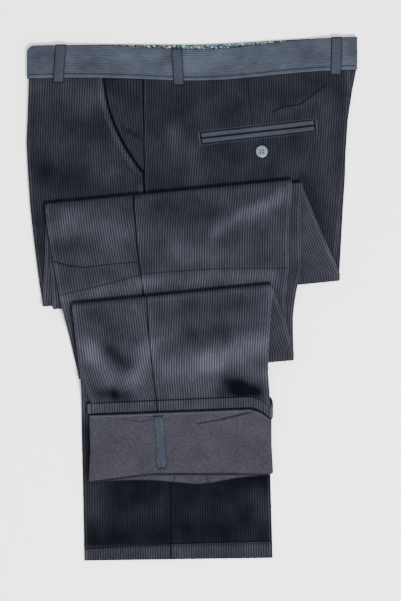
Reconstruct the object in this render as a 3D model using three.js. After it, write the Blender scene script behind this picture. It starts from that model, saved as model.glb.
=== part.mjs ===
import * as THREE from 'three';

// Fleece-lined corduroy trousers, folded on their side: the wearer's left leg is uppermost.
// Millimetres. X runs across the legs, front creases at -X. Y runs from the hems to the waist. Z is up.

// Cloth
const wall = 1.9;
const plyPitch = 2.3;
const seamGap = 0.3;
const foldRadius = 4.9;

// Waist
const bandHeight = 38.5;
const bandThickness = 2.4;
const bandFoldX = 207;
const bandFrontX = -204;
const bandOverEdge = 3;
const bandCornerDrop = 7;
const bandCornerX = -190;
const liningThickness = 1;
const loopThickness = 1.6;
const loopWidth = 13;
const loopOverhang = 6;
const loopArch = 1.2;

// Pockets
const pocketTop = { x: -109, y: 276.5 };
const pocketFoot = { x: -58.7, y: 153.8 };
const pocketCurve = 1.85;
const facingUnderlap = 24;
const facingPastSeam = 8;
const facingRows = [280, 262, 243, 224, 205, 182, 160];
const weltLine = { from: new THREE.Vector2(11.2, 198.4), to: new THREE.Vector2(155, 214.5) };
const weltWidth = 7;
const weltThickness = 1;
const button = { x: 88, y: 182, diameter: 15, thickness: 2.4, holeDiameter: 1.8, holeSpacing: 4 };

// Cuff of the left leg and the width of its opened seam
const hemTurn = 13;
const cuffCorner = { fromX: 70, toX: 100, drop: 17 };
const allowanceWidth = 12;
const allowanceThickness = 1;

// Places along the legs where the cloth turns back, each measured at X = 0
const waistAt = 278;
const hemAt = -325;
const turns = { knee: 11.8, thigh: 125.3, shin: -79.6, calf: -1.6, cuff: -216, hem: -127.6 };

// Cross-sections, one row each: where along the leg, both creases of both legs, and the side seams.
const sections = {
  hip: [
    { at: 278, leftFront: -202, leftBack: 198, rightFront: -200, rightBack: 206, outseam: -59.5, inseam: -42 },
    { at: 250, leftFront: -203, leftBack: 198, rightFront: -202, rightBack: 201, outseam: -59.5, inseam: -42 },
    { at: 205, leftFront: -205, leftBack: 195, rightFront: -203, rightBack: 195, outseam: -59, inseam: -42 },
    { at: 170, leftFront: -203, leftBack: 193, rightFront: -202, rightBack: 193, outseam: -58.5, inseam: -42 },
    { at: 130, leftFront: -200, leftBack: 190, rightFront: -198, rightBack: 192, outseam: -58, inseam: -42 },
    { at: 85, leftFront: -195, leftBack: 186, rightFront: -191, rightBack: 189, outseam: -57, inseam: -42 },
    { at: 45, leftFront: -190, leftBack: 182, rightFront: -182, rightBack: 187, outseam: -56, inseam: -42 },
    { at: 11.8, leftFront: -185, leftBack: 179, rightFront: -172, rightBack: 185, outseam: -56, inseam: -42 },
  ],
  kneeUp: [
    { at: 11.8, leftFront: -185, leftBack: 179, rightFront: -172, rightBack: 185, outseam: -56, inseam: -42 },
    { at: 60, leftFront: -182, leftBack: 154, rightFront: -175, rightBack: 164, outseam: -63, inseam: -46 },
    { at: 125.3, leftFront: -180, leftBack: 125, rightFront: -176, rightBack: 138, outseam: -71, inseam: -50 },
  ],
  thigh: [
    { at: 125.3, leftFront: -180, leftBack: 125, rightFront: -176, rightBack: 138, outseam: -71, inseam: -50 },
    { at: 95, leftFront: -176, leftBack: 122, rightFront: -172, rightBack: 136, outseam: -68.5, inseam: -48 },
    { at: 60, leftFront: -170, leftBack: 121, rightFront: -166, rightBack: 136, outseam: -65.5, inseam: -46 },
    { at: 25, leftFront: -164, leftBack: 121, rightFront: -161, rightBack: 137, outseam: -60.5, inseam: -44 },
    { at: -10, leftFront: -157, leftBack: 117, rightFront: -153, rightBack: 130, outseam: -56, inseam: -42 },
    { at: -40, leftFront: -150, leftBack: 118, rightFront: -148, rightBack: 127, outseam: -53, inseam: -40 },
    { at: -79.6, leftFront: -141, leftBack: 123, rightFront: -140, rightBack: 128, outseam: -50, inseam: -38 },
  ],
  calfUp: [
    { at: -79.6, leftFront: -141, leftBack: 123, rightFront: -140, rightBack: 128, outseam: -50, inseam: -38 },
    { at: -40, leftFront: -144, leftBack: 112, rightFront: -141, rightBack: 117, outseam: -52, inseam: -38 },
    { at: -1.6, leftFront: -146, leftBack: 100, rightFront: -142, rightBack: 102, outseam: -54, inseam: -38 },
  ],
  shin: [
    { at: -1.6, leftFront: -146, leftBack: 100, rightFront: -142, rightBack: 102, outseam: -54, inseam: -38 },
    { at: -30, leftFront: -143, leftBack: 99, rightFront: -140, rightBack: 97, outseam: -53, inseam: -36 },
    { at: -75, leftFront: -138, leftBack: 96, rightFront: -138, rightBack: 95, outseam: -48.5, inseam: -33 },
    { at: -100, leftFront: -132, leftBack: 96, rightFront: -137, rightBack: 95, outseam: -45.5, inseam: -31 },
    { at: -122, leftFront: -125, leftBack: 98, rightFront: -137, rightBack: 95, outseam: -43, inseam: -29 },
    { at: -180, leftFront: -123, leftBack: 98, rightFront: -136, rightBack: 97, outseam: -37.5, inseam: -27 },
    { at: -219, leftFront: -125, leftBack: 100, rightFront: -135, rightBack: 99, outseam: -36.5, inseam: -26 },
    { at: -325, leftFront: -125, leftBack: 100, rightFront: -133, rightBack: 102, outseam: -36, inseam: -25 },
  ],
};

// Tilt of the sections: rise in Y for each millimetre across.
const tilts = [
  { at: -325, tilt: 0.015 },
  { at: -219, tilt: 0.03 },
  { at: -127.6, tilt: 0.04 },
  { at: -77.6, tilt: 0.1 },
  { at: 130, tilt: 0.1 },
  { at: 278, tilt: 0.028 },
];

// Soft folds in the uppermost cloth, as ridges: ends, height and half-width.
const ridges = {
  hip: [
    { x0: 122, y0: 226, x1: 178, y1: 252, height: 2, width: 10 },
    { x0: -188, y0: 190, x1: -120, y1: 140, height: 1.5, width: 16 },
  ],
  thigh: [
    { x0: 20, y0: 84, x1: 100, y1: 126, height: 4, width: 14 },
    { x0: -165, y0: 76, x1: -80, y1: 98, height: 3, width: 13 },
    { x0: -120, y0: 26, x1: 60, y1: 34, height: 2.5, width: 12 },
  ],
  shin: [
    { x0: -135, y0: -56, x1: -55, y1: -102, height: 3, width: 12 },
    { x0: -25, y0: -72, x1: 75, y1: -84, height: 4, width: 20 },
  ],
  cuff: [
    { x0: 5, y0: -160, x1: 90, y1: -140, height: 1.5, width: 9 },
    { x0: -110, y0: -205, x1: -60, y1: -165, height: 1.5, width: 14 },
  ],
};

const colours = {
  corduroy: { color: 0x1b2029, roughness: 0.92, metalness: 0 },
  lining: { color: 0x4c6467, roughness: 0.9, metalness: 0 },
  button: { color: 0x55656b, roughness: 0.4, metalness: 0 },
};

const restHeight = 1.5 * plyPitch + wall / 2;
const layerRise = 2 * foldRadius;
const outerFace = (plyPitch + wall) / 2;
const innerFace = (plyPitch - wall) / 2;

const clamp01 = (t) => Math.min(1, Math.max(0, t));
const smooth = (t) => clamp01(t) ** 2 * (3 - 2 * clamp01(t));

// Straight lines between the rows of a table; its rows run in the order of their own `at`.
function lookUp(rows, column, at) {
  const sorted = [...rows].sort((a, b) => a.at - b.at);
  if (at <= sorted[0].at) return sorted[0][column];
  for (let i = 1; i < sorted.length; i++) {
    const [low, high] = [sorted[i - 1], sorted[i]];
    if (at <= high.at) {
      return THREE.MathUtils.mapLinear(at, low.at, high.at, low[column], high[column]);
    }
  }
  return sorted.at(-1)[column];
}

// A smooth step laid out as short straight slopes, so that stacked layers stay parallel on it.
const stepLength = 50;
const stepCount = 5;
function steppedFall(start) {
  const rows = [];
  for (let i = 0; i <= stepCount; i++) {
    rows.push({ at: start - (stepLength * i) / stepCount, share: 1 - smooth(i / stepCount) });
  }
  return { knots: rows.map((row) => row.at), share: (at) => lookUp(rows, 'share', at) };
}
const kneeFall = steppedFall(14);
const shinFall = steppedFall(-77.6);

// Heights that the layers share
const waistLift = [{ at: 225, lift: 0 }, { at: 264, lift: loopThickness + seamGap }];
const cuffRise = [
  { at: -160, rise: plyPitch },
  { at: -142, rise: 2 * plyPitch },
  { at: -117.6, rise: 2 * plyPitch },
  { at: -97.6, rise: 0 },
];
const waistSag = 1.9;

// Both folds of the cuff's mouth, upper and under cloth: how far each lies from a straight line across.
const mouthFrom = -160;
const mouth = [
  { at: -128, upper: -6, under: -7 },
  { at: -77, upper: -0.6, under: -6.1 },
  { at: -46, upper: 2.5, under: -7.3 },
  { at: -22, upper: 1.8, under: -10.5 },
  { at: 14, upper: 0.7, under: -14.3 },
  { at: 58, upper: -0.6, under: -7.2 },
  { at: 98, upper: -1.8, under: -4.3 },
];

// The waist dips towards the side seam, by less on the under half, which shows above the upper one.
const dips = { left: { foot: 8.5, top: 11 }, right: { foot: 4, top: 4.5 } };
const dipMiddle = 18;
const dipHalfWidth = 100;
const dipFrom = 200;
const dipAt = (x, depth) => -depth * Math.exp(-(((x - dipMiddle) / dipHalfWidth) ** 2));

const flatY = (x, at) => at + lookUp(tilts, 'tilt', at) * x;
function sectionY(side, x, at) {
  return flatY(x, at) + dipAt(x, dips[side].foot) * smooth((at - dipFrom) / (waistAt - dipFrom));
}

function ridgeHeight(rows, x, y) {
  let height = 0;
  for (const row of rows) {
    const along = new THREE.Vector2(row.x1 - row.x0, row.y1 - row.y0);
    const from = new THREE.Vector2(x - row.x0, y - row.y0);
    const share = clamp01(from.dot(along) / along.lengthSq());
    const apart = from.sub(along.multiplyScalar(share)).length() / row.width;
    height += row.height * Math.exp(-apart * apart);
  }
  return height;
}

function layerHeight(layer, at) {
  if (layer === 'hip') return restHeight + lookUp(waistLift, 'lift', at);
  if (layer === 'kneeUp') return restHeight + layerRise;
  const fallen = restHeight + 2 * layerRise * kneeFall.share(at);
  if (layer === 'thigh') return fallen;
  if (layer === 'calfUp') return fallen + layerRise;
  return fallen + 2 * layerRise * shinFall.share(at);
}

// Places along a leg. Each holds its layer, and for the two faces of the cloth how far along they
// are and how far from the leg's middle; a turn adds the angle gone round it.
function straight(layer, at, outside = outerFace, inside = innerFace) {
  return { layer, faces: [{ at, from: outside }, { at, from: inside }] };
}
const turnSteps = 5;
function turn(layer, nextLayer, at, way) {
  const places = [];
  for (let i = 1; i < turnSteps; i++) {
    const angle = (Math.PI * i) / turnSteps;
    const face = { at, from: outerFace };
    places.push({ layer, nextLayer, way, angle, faces: [face, { ...face, from: innerFace }] });
  }
  return places;
}
// The cloth rolls outwards over itself, round a line that lies one ply further out.
function roll(at, way, middle, radii) {
  const places = [];
  for (let i = 1; i < turnSteps; i++) {
    const angle = (Math.PI * i) / turnSteps;
    const faces = radii.map((radius) => ({
      at: at + way * radius * Math.sin(angle),
      from: middle - radius * Math.cos(angle),
    }));
    places.push({ layer: 'shin', rolled: true, faces });
  }
  return places;
}

const between = (low, high, marks) => marks.filter((mark) => mark > low && mark < high);
const falling = (layer, marks) => marks.map((at) => straight(layer, at));
const hipMarks = [waistAt, 264, 250, 225, 205, 187, 170, 150, 130, 95, 65, 37, turns.knee];
const thighMarks = [turns.thigh, 105, 85, 62, 40, 24, ...kneeFall.knots, -58, turns.shin];
const calfMarks = [turns.shin, -58, ...between(turns.shin, turns.calf, kneeFall.knots).reverse(), turns.calf];
const shinMarks = [
  turns.calf,
  ...between(-40, turns.calf, kneeFall.knots),
  -56,
  ...shinFall.knots,
  -142,
  -160,
  -190,
  turns.cuff,
];
const common = [
  ...falling('hip', hipMarks),
  ...turn('hip', 'kneeUp', turns.knee, -1),
  ...falling('kneeUp', [turns.knee, 65, turns.thigh]),
  ...turn('kneeUp', 'thigh', turns.thigh, 1),
  ...falling('thigh', thighMarks),
  ...turn('thigh', 'calfUp', turns.shin, -1),
  ...falling('calfUp', calfMarks),
  ...turn('calfUp', 'shin', turns.calf, 1),
  ...falling('shin', shinMarks),
];
const cuffOut = plyPitch + innerFace;
const cuffIn = plyPitch + outerFace;
const bandOut = 2 * plyPitch + outerFace;
const bandIn = 2 * plyPitch + innerFace;
const rolled = (at, outside, inside) => ({ ...straight('shin', at, outside, inside), rolled: true });
const routes = {
  right: [...common, ...falling('shin', [-250, -285, hemAt])],
  left: [
    ...common,
    ...roll(turns.cuff, -1, plyPitch, [innerFace, outerFace]),
    ...[turns.cuff, -190, -160, -142, turns.hem].map((at) => rolled(at, cuffOut, cuffIn)),
    ...roll(turns.hem, 1, 2 * plyPitch, [outerFace, innerFace]),
    ...[turns.hem, turns.hem - hemTurn].map((at) => rolled(at, bandOut, bandIn)),
  ],
};

const upwards = { hip: 1, kneeUp: -1, thigh: 1, calfUp: -1, shin: 1 };

// How far along the cloth's mouth and corner move a point of the turned-up leg's end.
function mouthMove(x, upper) {
  return THREE.MathUtils.lerp(lookUp(mouth, 'under', x), lookUp(mouth, 'upper', x), upper);
}
const cornerMove = (x, at) =>
  -cuffCorner.drop *
  clamp01((x - cuffCorner.fromX) / (cuffCorner.toX - cuffCorner.fromX)) ** 2 *
  smooth((at - turns.cuff) / (turns.hem - turns.cuff));

// Puts one face point of a leg in space. x is its place across, outX and outN say which way is out of the
// leg there, across and through the pile, and n is how far it lies from the middle between both legs.
function placePoint(side, place, face, x, outX, outN) {
  const legMiddle = side === 'left' ? plyPitch : -plyPitch;
  const sideways = side === 'left' ? 1 : -1;
  const px = x + outX * face.from;
  let n = legMiddle + sideways * outN * face.from;
  if (place.angle !== undefined) {
    const radius = foldRadius + place.way * n;
    const at = face.at + place.way * radius * Math.sin(place.angle);
    const start = layerHeight(place.layer, at);
    const end = layerHeight(place.nextLayer, at);
    const z = (start + end) / 2 - radius * Math.cos(place.angle);
    return new THREE.Vector3(px, flatY(px, at), z);
  }
  let at = face.at;
  let lift = 0;
  const upper = (1 + outN) / 2;
  if (side === 'left' && place.layer === 'shin') {
    at += mouthMove(px, upper) * smooth((mouthFrom - at) / (mouthFrom - turns.cuff));
    n += lookUp(cuffRise, 'rise', at);
  }
  let y = sectionY(side, px, at);
  if (place.rolled) y += upper * cornerMove(px, face.at);
  if (side === 'left' && outN > 0) lift = outN * loft(place, face, px, y);
  return new THREE.Vector3(px, y, layerHeight(place.layer, at) + upwards[place.layer] * n + lift);
}

// How far the uppermost cloth stands above its flat place: nothing near its edges and its turns.
const edgeFlat = 4;
const edgeRise = 30;
const sagRise = 40;
function loft(place, face, x, y) {
  const { layer } = place;
  const front = lookUp(sections[layer], 'leftFront', face.at);
  const back = lookUp(sections[layer], 'leftBack', face.at);
  const inFromEdge = Math.min(x - front, back - x);
  const soft = smooth((inFromEdge - edgeFlat) / edgeRise);
  if (layer === 'hip') {
    const open = smooth((face.at - 135) / 50);
    const sag = waistSag * smooth((inFromEdge - edgeRise) / sagRise);
    const quiet = 1 - smooth((face.at - 245) / 15);
    return open * (soft * quiet * ridgeHeight(ridges.hip, x, y) - sag);
  }
  if (layer === 'thigh') {
    const open = smooth((face.at - 14) / 14) * smooth((turns.thigh - face.at) / 16);
    return open * soft * ridgeHeight(ridges.thigh, x, y);
  }
  if (layer === 'shin' && place.rolled) {
    return soft * smooth((face.at - turns.cuff) / 20) * ridgeHeight(ridges.cuff, x, y);
  }
  if (layer === 'shin') {
    const open = smooth((turns.calf - face.at) / 18) * smooth((face.at + 114) / 14);
    return open * soft * ridgeHeight(ridges.shin, x, y);
  }
  return 0;
}

// Inside legs end on the rise above the crotch, where both halves of the seat are joined.
const crotch = 37;
const riseLip = 6;
const rises = { Front: { reach: 150, power: 2.2 }, Back: { reach: 180, power: 2 } };
function riseX(crease, inseam, at, { reach, power }) {
  const share = clamp01((reach - at) / (reach - crotch)) ** power;
  return THREE.MathUtils.lerp(crease + Math.sign(inseam - crease) * riseLip, inseam, share);
}

function pocketX(y) {
  const share = clamp01((pocketTop.y - y) / (pocketTop.y - pocketFoot.y));
  return THREE.MathUtils.lerp(pocketTop.x, pocketFoot.x, share ** pocketCurve);
}

// A closed sheet between two face grids of the same size.
function sheet(outside, inside) {
  const rows = outside.length;
  const columns = outside[0].length;
  const points = [...outside.flat(), ...inside.flat()];
  const index = [];
  const id = (face, row, column) => (face * rows + row) * columns + column;
  const quad = (a, b, c, d) => index.push(a, b, c, a, c, d);
  for (let r = 0; r + 1 < rows; r++) {
    for (let c = 0; c + 1 < columns; c++) {
      quad(id(0, r, c), id(0, r, c + 1), id(0, r + 1, c + 1), id(0, r + 1, c));
      quad(id(1, r, c), id(1, r + 1, c), id(1, r + 1, c + 1), id(1, r, c + 1));
    }
    quad(id(0, r, 0), id(0, r + 1, 0), id(1, r + 1, 0), id(1, r, 0));
    const last = columns - 1;
    quad(id(0, r, last), id(1, r, last), id(1, r + 1, last), id(0, r + 1, last));
  }
  for (let c = 0; c + 1 < columns; c++) {
    const last = rows - 1;
    quad(id(0, 0, c), id(1, 0, c), id(1, 0, c + 1), id(0, 0, c + 1));
    quad(id(0, last, c), id(0, last, c + 1), id(1, last, c + 1), id(1, last, c));
  }
  const geometry = new THREE.BufferGeometry().setFromPoints(points);
  geometry.setIndex(facesOut(points, index));
  geometry.computeVertexNormals();
  return geometry;
}

function facesOut(points, index) {
  let volume = 0;
  for (let i = 0; i < index.length; i += 3) {
    const [a, b, c] = [points[index[i]], points[index[i + 1]], points[index[i + 2]]];
    volume += a.dot(new THREE.Vector3().crossVectors(b, c));
  }
  if (volume > 0) return index;
  const turned = [];
  for (let i = 0; i < index.length; i += 3) turned.push(index[i], index[i + 2], index[i + 1]);
  return turned;
}

// One leg panel: outside cloth from the outseam to its crease, round the crease, and back inside.
const outsideShares = [0, 0.27, 0.54, 0.8, 1];
const outsideSteps = outsideShares.length - 1;
const insideSteps = 2;
const creaseSteps = 3;
function panel(side, end) {
  const isFront = end === 'Front';
  const towardsCrease = isFront ? -1 : 1;
  const grids = [[], []];
  for (const place of routes[side]) {
    const rows = sections[place.layer];
    const at = place.faces[0].at;
    const crease = lookUp(rows, side + end, at);
    const spine = crease - towardsCrease * outerFace;
    const inseam = lookUp(rows, 'inseam', at);
    let outer = lookUp(rows, 'outseam', at);
    let inner = inseam;
    if (place.layer === 'hip') {
      inner = riseX(spine, inseam, at, rises[end]);
      if (side === 'left' && isFront && place.angle === undefined) {
        outer = Math.min(outer, pocketX(sectionY(side, outer, at)));
      }
    }
    outer += (towardsCrease * seamGap) / 2;
    inner += (towardsCrease * seamGap) / 2;
    const section = [];
    for (const share of outsideShares) section.push([THREE.MathUtils.lerp(outer, spine, share), 0, 1]);
    for (let i = 1; i < creaseSteps; i++) {
      const angle = (Math.PI * i) / creaseSteps;
      section.push([spine, towardsCrease * Math.sin(angle), Math.cos(angle)]);
    }
    for (let i = 0; i <= insideSteps; i++) {
      section.push([THREE.MathUtils.lerp(spine, inner, i / insideSteps), 0, -1]);
    }
    grids.forEach((grid, f) => {
      grid.push(section.map(([x, outX, outN]) => placePoint(side, place, place.faces[f], x, outX, outN)));
    });
  }
  return grids;
}

// Height of a panel's outside face at a place on the hip, on its own flat facets.
function surfaceHeight(grid, x, y) {
  const point = new THREE.Vector3(x, y, 0);
  const flat = (corner) => new THREE.Vector3(corner.x, corner.y, 0);
  for (let r = 0; r + 1 < hipMarks.length; r++) {
    for (let c = 0; c < outsideSteps; c++) {
      const corners = [grid[r][c], grid[r][c + 1], grid[r + 1][c + 1], grid[r + 1][c]];
      for (const [i, j, k] of [[0, 1, 2], [0, 2, 3]]) {
        const [a, b, d] = [corners[i], corners[j], corners[k]];
        const share = THREE.Triangle.getBarycoord(point, flat(a), flat(b), flat(d), new THREE.Vector3());
        if (share && share.x >= -1e-6 && share.y >= -1e-6 && share.z >= -1e-6) {
          return share.x * a.z + share.y * b.z + share.z * d.z;
        }
      }
    }
  }
  return undefined;
}

// A flat strip that lies `gap` above a surface; `spots` is a grid of places on it.
function strip(spots, heightAt, gap, thickness) {
  const lay = (rise) =>
    spots.map((row) => row.map((spot) => new THREE.Vector3(spot.x, spot.y, heightAt(spot) + gap + rise)));
  return sheet(lay(thickness), lay(0));
}

// The band is sewn to the panels, so its foot follows their upper edges point by point.
const panels = {};
for (const side of ['left', 'right']) {
  for (const end of ['Front', 'Back']) panels[side + end] = panel(side, end);
}
function upperEdge(side) {
  const firstRows = ['Front', 'Back'].map((end) => panels[side + end][0][0]);
  const points = firstRows.flatMap((row) => row.slice(0, outsideSteps + 1));
  return points.map(({ x, y }) => ({ at: x, y })).sort((a, b) => a.at - b.at);
}
const upperEdges = { left: upperEdge('left'), right: upperEdge('right') };
const bandTop = (side, x) => flatY(x, waistAt) + dipAt(x, dips[side].top) + bandHeight + bandOverEdge;
const bandFoot = (side, x) => lookUp(upperEdges[side], 'y', x) + seamGap;
function bandHalfHeight(x) {
  const inFromEdge = Math.min(x - bandFrontX, bandFoldX - x);
  return restHeight + 1.5 * plyPitch + loopThickness + seamGap - waistSag * smooth((inFromEdge - edgeRise) / sagRise);
}
const underBandHeight = loopThickness + seamGap + bandThickness / 2;

const bandLevels = [0, 0.35, 0.7, 1];

// The waistband runs along the upper half, round the back edge and back along the under half.
function waistband() {
  const outsideGrid = [];
  const insideGrid = [];
  const edge = bandHalfHeight(bandFoldX);
  const bend = (edge - underBandHeight) / 2;
  const bendX = bandFoldX - bend - bandThickness / 2;
  const along = [];
  const edgeXs = (side) => [bandFrontX, ...upperEdges[side].map((row) => row.at)];
  const halfXs = (side) => edgeXs(side).filter((x) => x < bendX - 1);
  for (const x of halfXs('left')) along.push({ side: 'left', x, z: bandHalfHeight(x), outX: 0, outZ: 1 });
  for (let i = 0; i <= creaseSteps + 1; i++) {
    const angle = (Math.PI * i) / (creaseSteps + 1);
    const side = i <= (creaseSteps + 1) / 2 ? 'left' : 'right';
    const z = underBandHeight + bend;
    along.push({ side, x: bendX, z, bend, outX: Math.sin(angle), outZ: Math.cos(angle) });
  }
  for (const x of halfXs('right').reverse()) {
    along.push({ side: 'right', x, z: underBandHeight, outX: 0, outZ: -1 });
  }
  for (const level of bandLevels) {
    const row = [[], []];
    for (const spot of along) {
      const nearCorner = clamp01((bandCornerX - spot.x) / (bandCornerX - bandFrontX));
      const rounding = level === 1 ? bandCornerDrop * nearCorner ** 2 : 0;
      [1, -1].forEach((face, f) => {
        const out = (spot.bend ?? 0) + (face * bandThickness) / 2;
        const x = spot.x + spot.outX * out;
        const foot = bandFoot(spot.side, spot.x);
        const y = THREE.MathUtils.lerp(foot, bandTop(spot.side, spot.x) - rounding, level);
        row[f].push(new THREE.Vector3(x, y, spot.z + spot.outZ * out));
      });
    }
    outsideGrid.push(row[0]);
    insideGrid.push(row[1]);
  }
  return sheet(outsideGrid, insideGrid);
}

const liningLevels = [0.1, 0.98];
const liningReach = 190;

// The lining of the under half, which shows above the upper half's top edge.
function waistbandLining() {
  const spots = liningLevels.map((level) => {
    const row = [];
    for (let x = -liningReach; x <= liningReach; x += liningReach / 5) {
      row.push({ x, y: THREE.MathUtils.lerp(bandFoot('right', x), bandTop('right', x), level) });
    }
    return row;
  });
  return strip(spots, () => underBandHeight + bandThickness / 2, seamGap, liningThickness);
}

const loops = [
  { name: 'belt_loop_front', footX: -165, topX: -161.4 },
  { name: 'belt_loop_side', footX: -15, topX: -18 },
  { name: 'belt_loop_back', footX: 179.8, topX: 181 },
];
function beltLoop(row, side) {
  const isUpper = side === 'left';
  const outsideGrid = [];
  const insideGrid = [];
  const steps = 6;
  for (let i = 0; i <= steps; i++) {
    const share = i / steps;
    const middle = THREE.MathUtils.lerp(row.footX, row.topX, share);
    const foot = bandFoot(side, middle) - loopOverhang;
    const y = THREE.MathUtils.lerp(foot, bandTop(side, middle) + 0.5, share);
    const arch = isUpper ? loopArch * smooth(share * 5) * smooth((1 - share) * 5) : 0;
    const xs = [middle - loopWidth / 2, middle + loopWidth / 2];
    const top = isUpper
      ? Math.max(...xs.map(bandHalfHeight)) + bandThickness / 2 + seamGap + loopThickness + arch
      : loopThickness;
    outsideGrid.push(xs.map((x) => new THREE.Vector3(x, y, top)));
    insideGrid.push(xs.map((x) => new THREE.Vector3(x, y, top - loopThickness)));
  }
  return sheet(outsideGrid, insideGrid);
}

function pocketFacing(frontGrid, backGrid) {
  const seam = lookUp(sections.hip, 'outseam', 200);
  const spots = [];
  for (const y of facingRows) {
    const opening = pocketX(y);
    const row = [];
    for (const x of [opening - facingUnderlap, opening - 1, (opening + seam) / 2, seam, seam + facingPastSeam]) {
      row.push({ x, y: Math.min(flatY(x, y), sectionY('left', x, waistAt) - seamGap) });
    }
    spots.push(row);
  }
  const heightAt = ({ y }) => {
    const opening = pocketX(y);
    const under = opening - facingUnderlap;
    const onFront = [under - 6, opening - 12, opening - 2].map((x) => surfaceHeight(frontGrid, x, y));
    const onBack = [seam + 1, seam + facingPastSeam + 2].map((x) => surfaceHeight(backGrid, x, y));
    return Math.min(...[...onFront, ...onBack].filter((height) => height !== undefined));
  };
  return strip(spots, heightAt, -(2 * wall + 2 * seamGap), wall);
}

// One lip of the back pocket, on one side of the slit between both.
const slitHalf = 0.4;
function welt(backGrid, way) {
  const along = weltLine.to.clone().sub(weltLine.from);
  const across = new THREE.Vector2(-along.y, along.x).normalize();
  const spots = [];
  const steps = 8;
  for (let i = 0; i <= steps; i++) {
    const middle = weltLine.from.clone().addScaledVector(along, i / steps);
    const near = middle.clone().addScaledVector(across, way * slitHalf);
    const far = middle.clone().addScaledVector(across, way * weltWidth);
    spots.push([near, far]);
  }
  return strip(spots, ({ x, y }) => surfaceHeight(backGrid, x, y), seamGap, weltThickness);
}

function pocketButton(backGrid) {
  const shape = new THREE.Shape();
  shape.absarc(0, 0, button.diameter / 2, 0, 2 * Math.PI);
  for (let i = 0; i < 4; i++) {
    const angle = (Math.PI * (2 * i + 1)) / 4;
    const reach = button.holeSpacing / Math.SQRT2;
    const hole = new THREE.Path();
    hole.absarc(reach * Math.cos(angle), reach * Math.sin(angle), button.holeDiameter / 2, 0, 2 * Math.PI);
    shape.holes.push(hole);
  }
  const geometry = new THREE.ExtrudeGeometry(shape, {
    depth: button.thickness,
    bevelEnabled: false,
    curveSegments: 12,
  });
  let seat = -Infinity;
  for (let i = 0; i < 8; i++) {
    const angle = (Math.PI * i) / 4;
    const x = button.x + (button.diameter / 2) * Math.cos(angle);
    const y = button.y + (button.diameter / 2) * Math.sin(angle);
    seat = Math.max(seat, surfaceHeight(backGrid, x, y));
  }
  geometry.translate(button.x, button.y, seat + seamGap);
  return geometry;
}

// The side seam's allowance, pressed open on the fleece of the turned-up end.
function seamAllowance(frontGrid, backGrid) {
  const first = routes.left.findIndex((place) => place.rolled && place.faces[1].from === cuffIn);
  const rows = [0, 1, 2, 3].map((step) => first + step);
  const spots = rows.map((r) => {
    const front = frontGrid[r][0];
    const back = backGrid[r][0];
    const middle = front.clone().lerp(back, 0.5);
    const z = Math.max(front.z, back.z);
    return [-1, 1].map((way) => ({ x: middle.x + (way * allowanceWidth) / 2, y: middle.y, z }));
  });
  return strip(spots, (spot) => spot.z, 2 * seamGap, allowanceThickness);
}

function add(group, name, geometry, colour) {
  const mesh = new THREE.Mesh(geometry, new THREE.MeshStandardMaterial(colours[colour]));
  mesh.name = name;
  group.add(mesh);
}

function trousers() {
  const group = new THREE.Group();
  for (const side of ['left', 'right']) {
    for (const end of ['Front', 'Back']) {
      add(group, `${side}_${end.toLowerCase()}`, sheet(...panels[side + end]), 'corduroy');
    }
  }
  const [frontOut, frontIn] = panels.leftFront;
  const [backOut, backIn] = panels.leftBack;
  add(group, 'waistband', waistband(), 'corduroy');
  add(group, 'waistband_lining', waistbandLining(), 'lining');
  for (const row of loops) {
    add(group, `left_${row.name}`, beltLoop(row, 'left'), 'corduroy');
    add(group, `right_${row.name}`, beltLoop(row, 'right'), 'corduroy');
  }
  add(group, 'left_pocket_facing', pocketFacing(frontOut, backOut), 'corduroy');
  add(group, 'back_pocket_upper_welt', welt(backOut, 1), 'corduroy');
  add(group, 'back_pocket_lower_welt', welt(backOut, -1), 'corduroy');
  add(group, 'back_pocket_button', pocketButton(backOut), 'button');
  add(group, 'left_cuff_seam_allowance', seamAllowance(frontIn, backIn), 'corduroy');
  return group;
}

// The origin is on the surface that the trousers lie on, under the middle of their outline.
const garment = trousers();
const bounds = new THREE.Box3().setFromObject(garment);
const centre = bounds.getCenter(new THREE.Vector3());
garment.position.set(-centre.x, -centre.y, -bounds.min.z);
const root = new THREE.Group();
root.add(garment);

export default root;
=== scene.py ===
import math

import bpy
import numpy as np
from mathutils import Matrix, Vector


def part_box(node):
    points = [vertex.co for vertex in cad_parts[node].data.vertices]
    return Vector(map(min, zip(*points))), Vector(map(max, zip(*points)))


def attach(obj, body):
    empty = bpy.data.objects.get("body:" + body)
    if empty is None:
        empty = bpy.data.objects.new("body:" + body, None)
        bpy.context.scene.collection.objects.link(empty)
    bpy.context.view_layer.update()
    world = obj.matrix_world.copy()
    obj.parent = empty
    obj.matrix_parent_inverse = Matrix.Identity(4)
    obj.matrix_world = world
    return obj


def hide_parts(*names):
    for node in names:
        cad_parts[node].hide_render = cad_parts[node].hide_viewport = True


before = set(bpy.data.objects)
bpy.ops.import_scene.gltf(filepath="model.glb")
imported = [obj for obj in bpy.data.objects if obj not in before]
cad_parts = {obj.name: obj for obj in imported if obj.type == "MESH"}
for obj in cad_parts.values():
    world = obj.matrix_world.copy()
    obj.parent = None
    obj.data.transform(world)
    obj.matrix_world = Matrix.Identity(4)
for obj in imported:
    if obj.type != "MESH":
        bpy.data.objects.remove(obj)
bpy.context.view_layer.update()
print("loaded the packed trousers:", len(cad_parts), "pieces")

# Sizes here are millimetres in the frame of the photo's grid, and go to metres in the meshes.
metre = 0.001

cloth = {
    "wall": 1.9,
    "ply": 2.3,
    "foldRadius": 4.9,
    "seamGap": 0.3,
    "sewnGap": 0.06,
    "waleSpacing": 3.1,
    "waleDepth": 0.5,
    "edgeRound": 1.6,
}
outerFace = (cloth["ply"] + cloth["wall"]) / 2
innerFace = (cloth["ply"] - cloth["wall"]) / 2
restHeight = 1.5 * cloth["ply"] + cloth["wall"] / 2
layerRise = 2 * cloth["foldRadius"]

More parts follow.
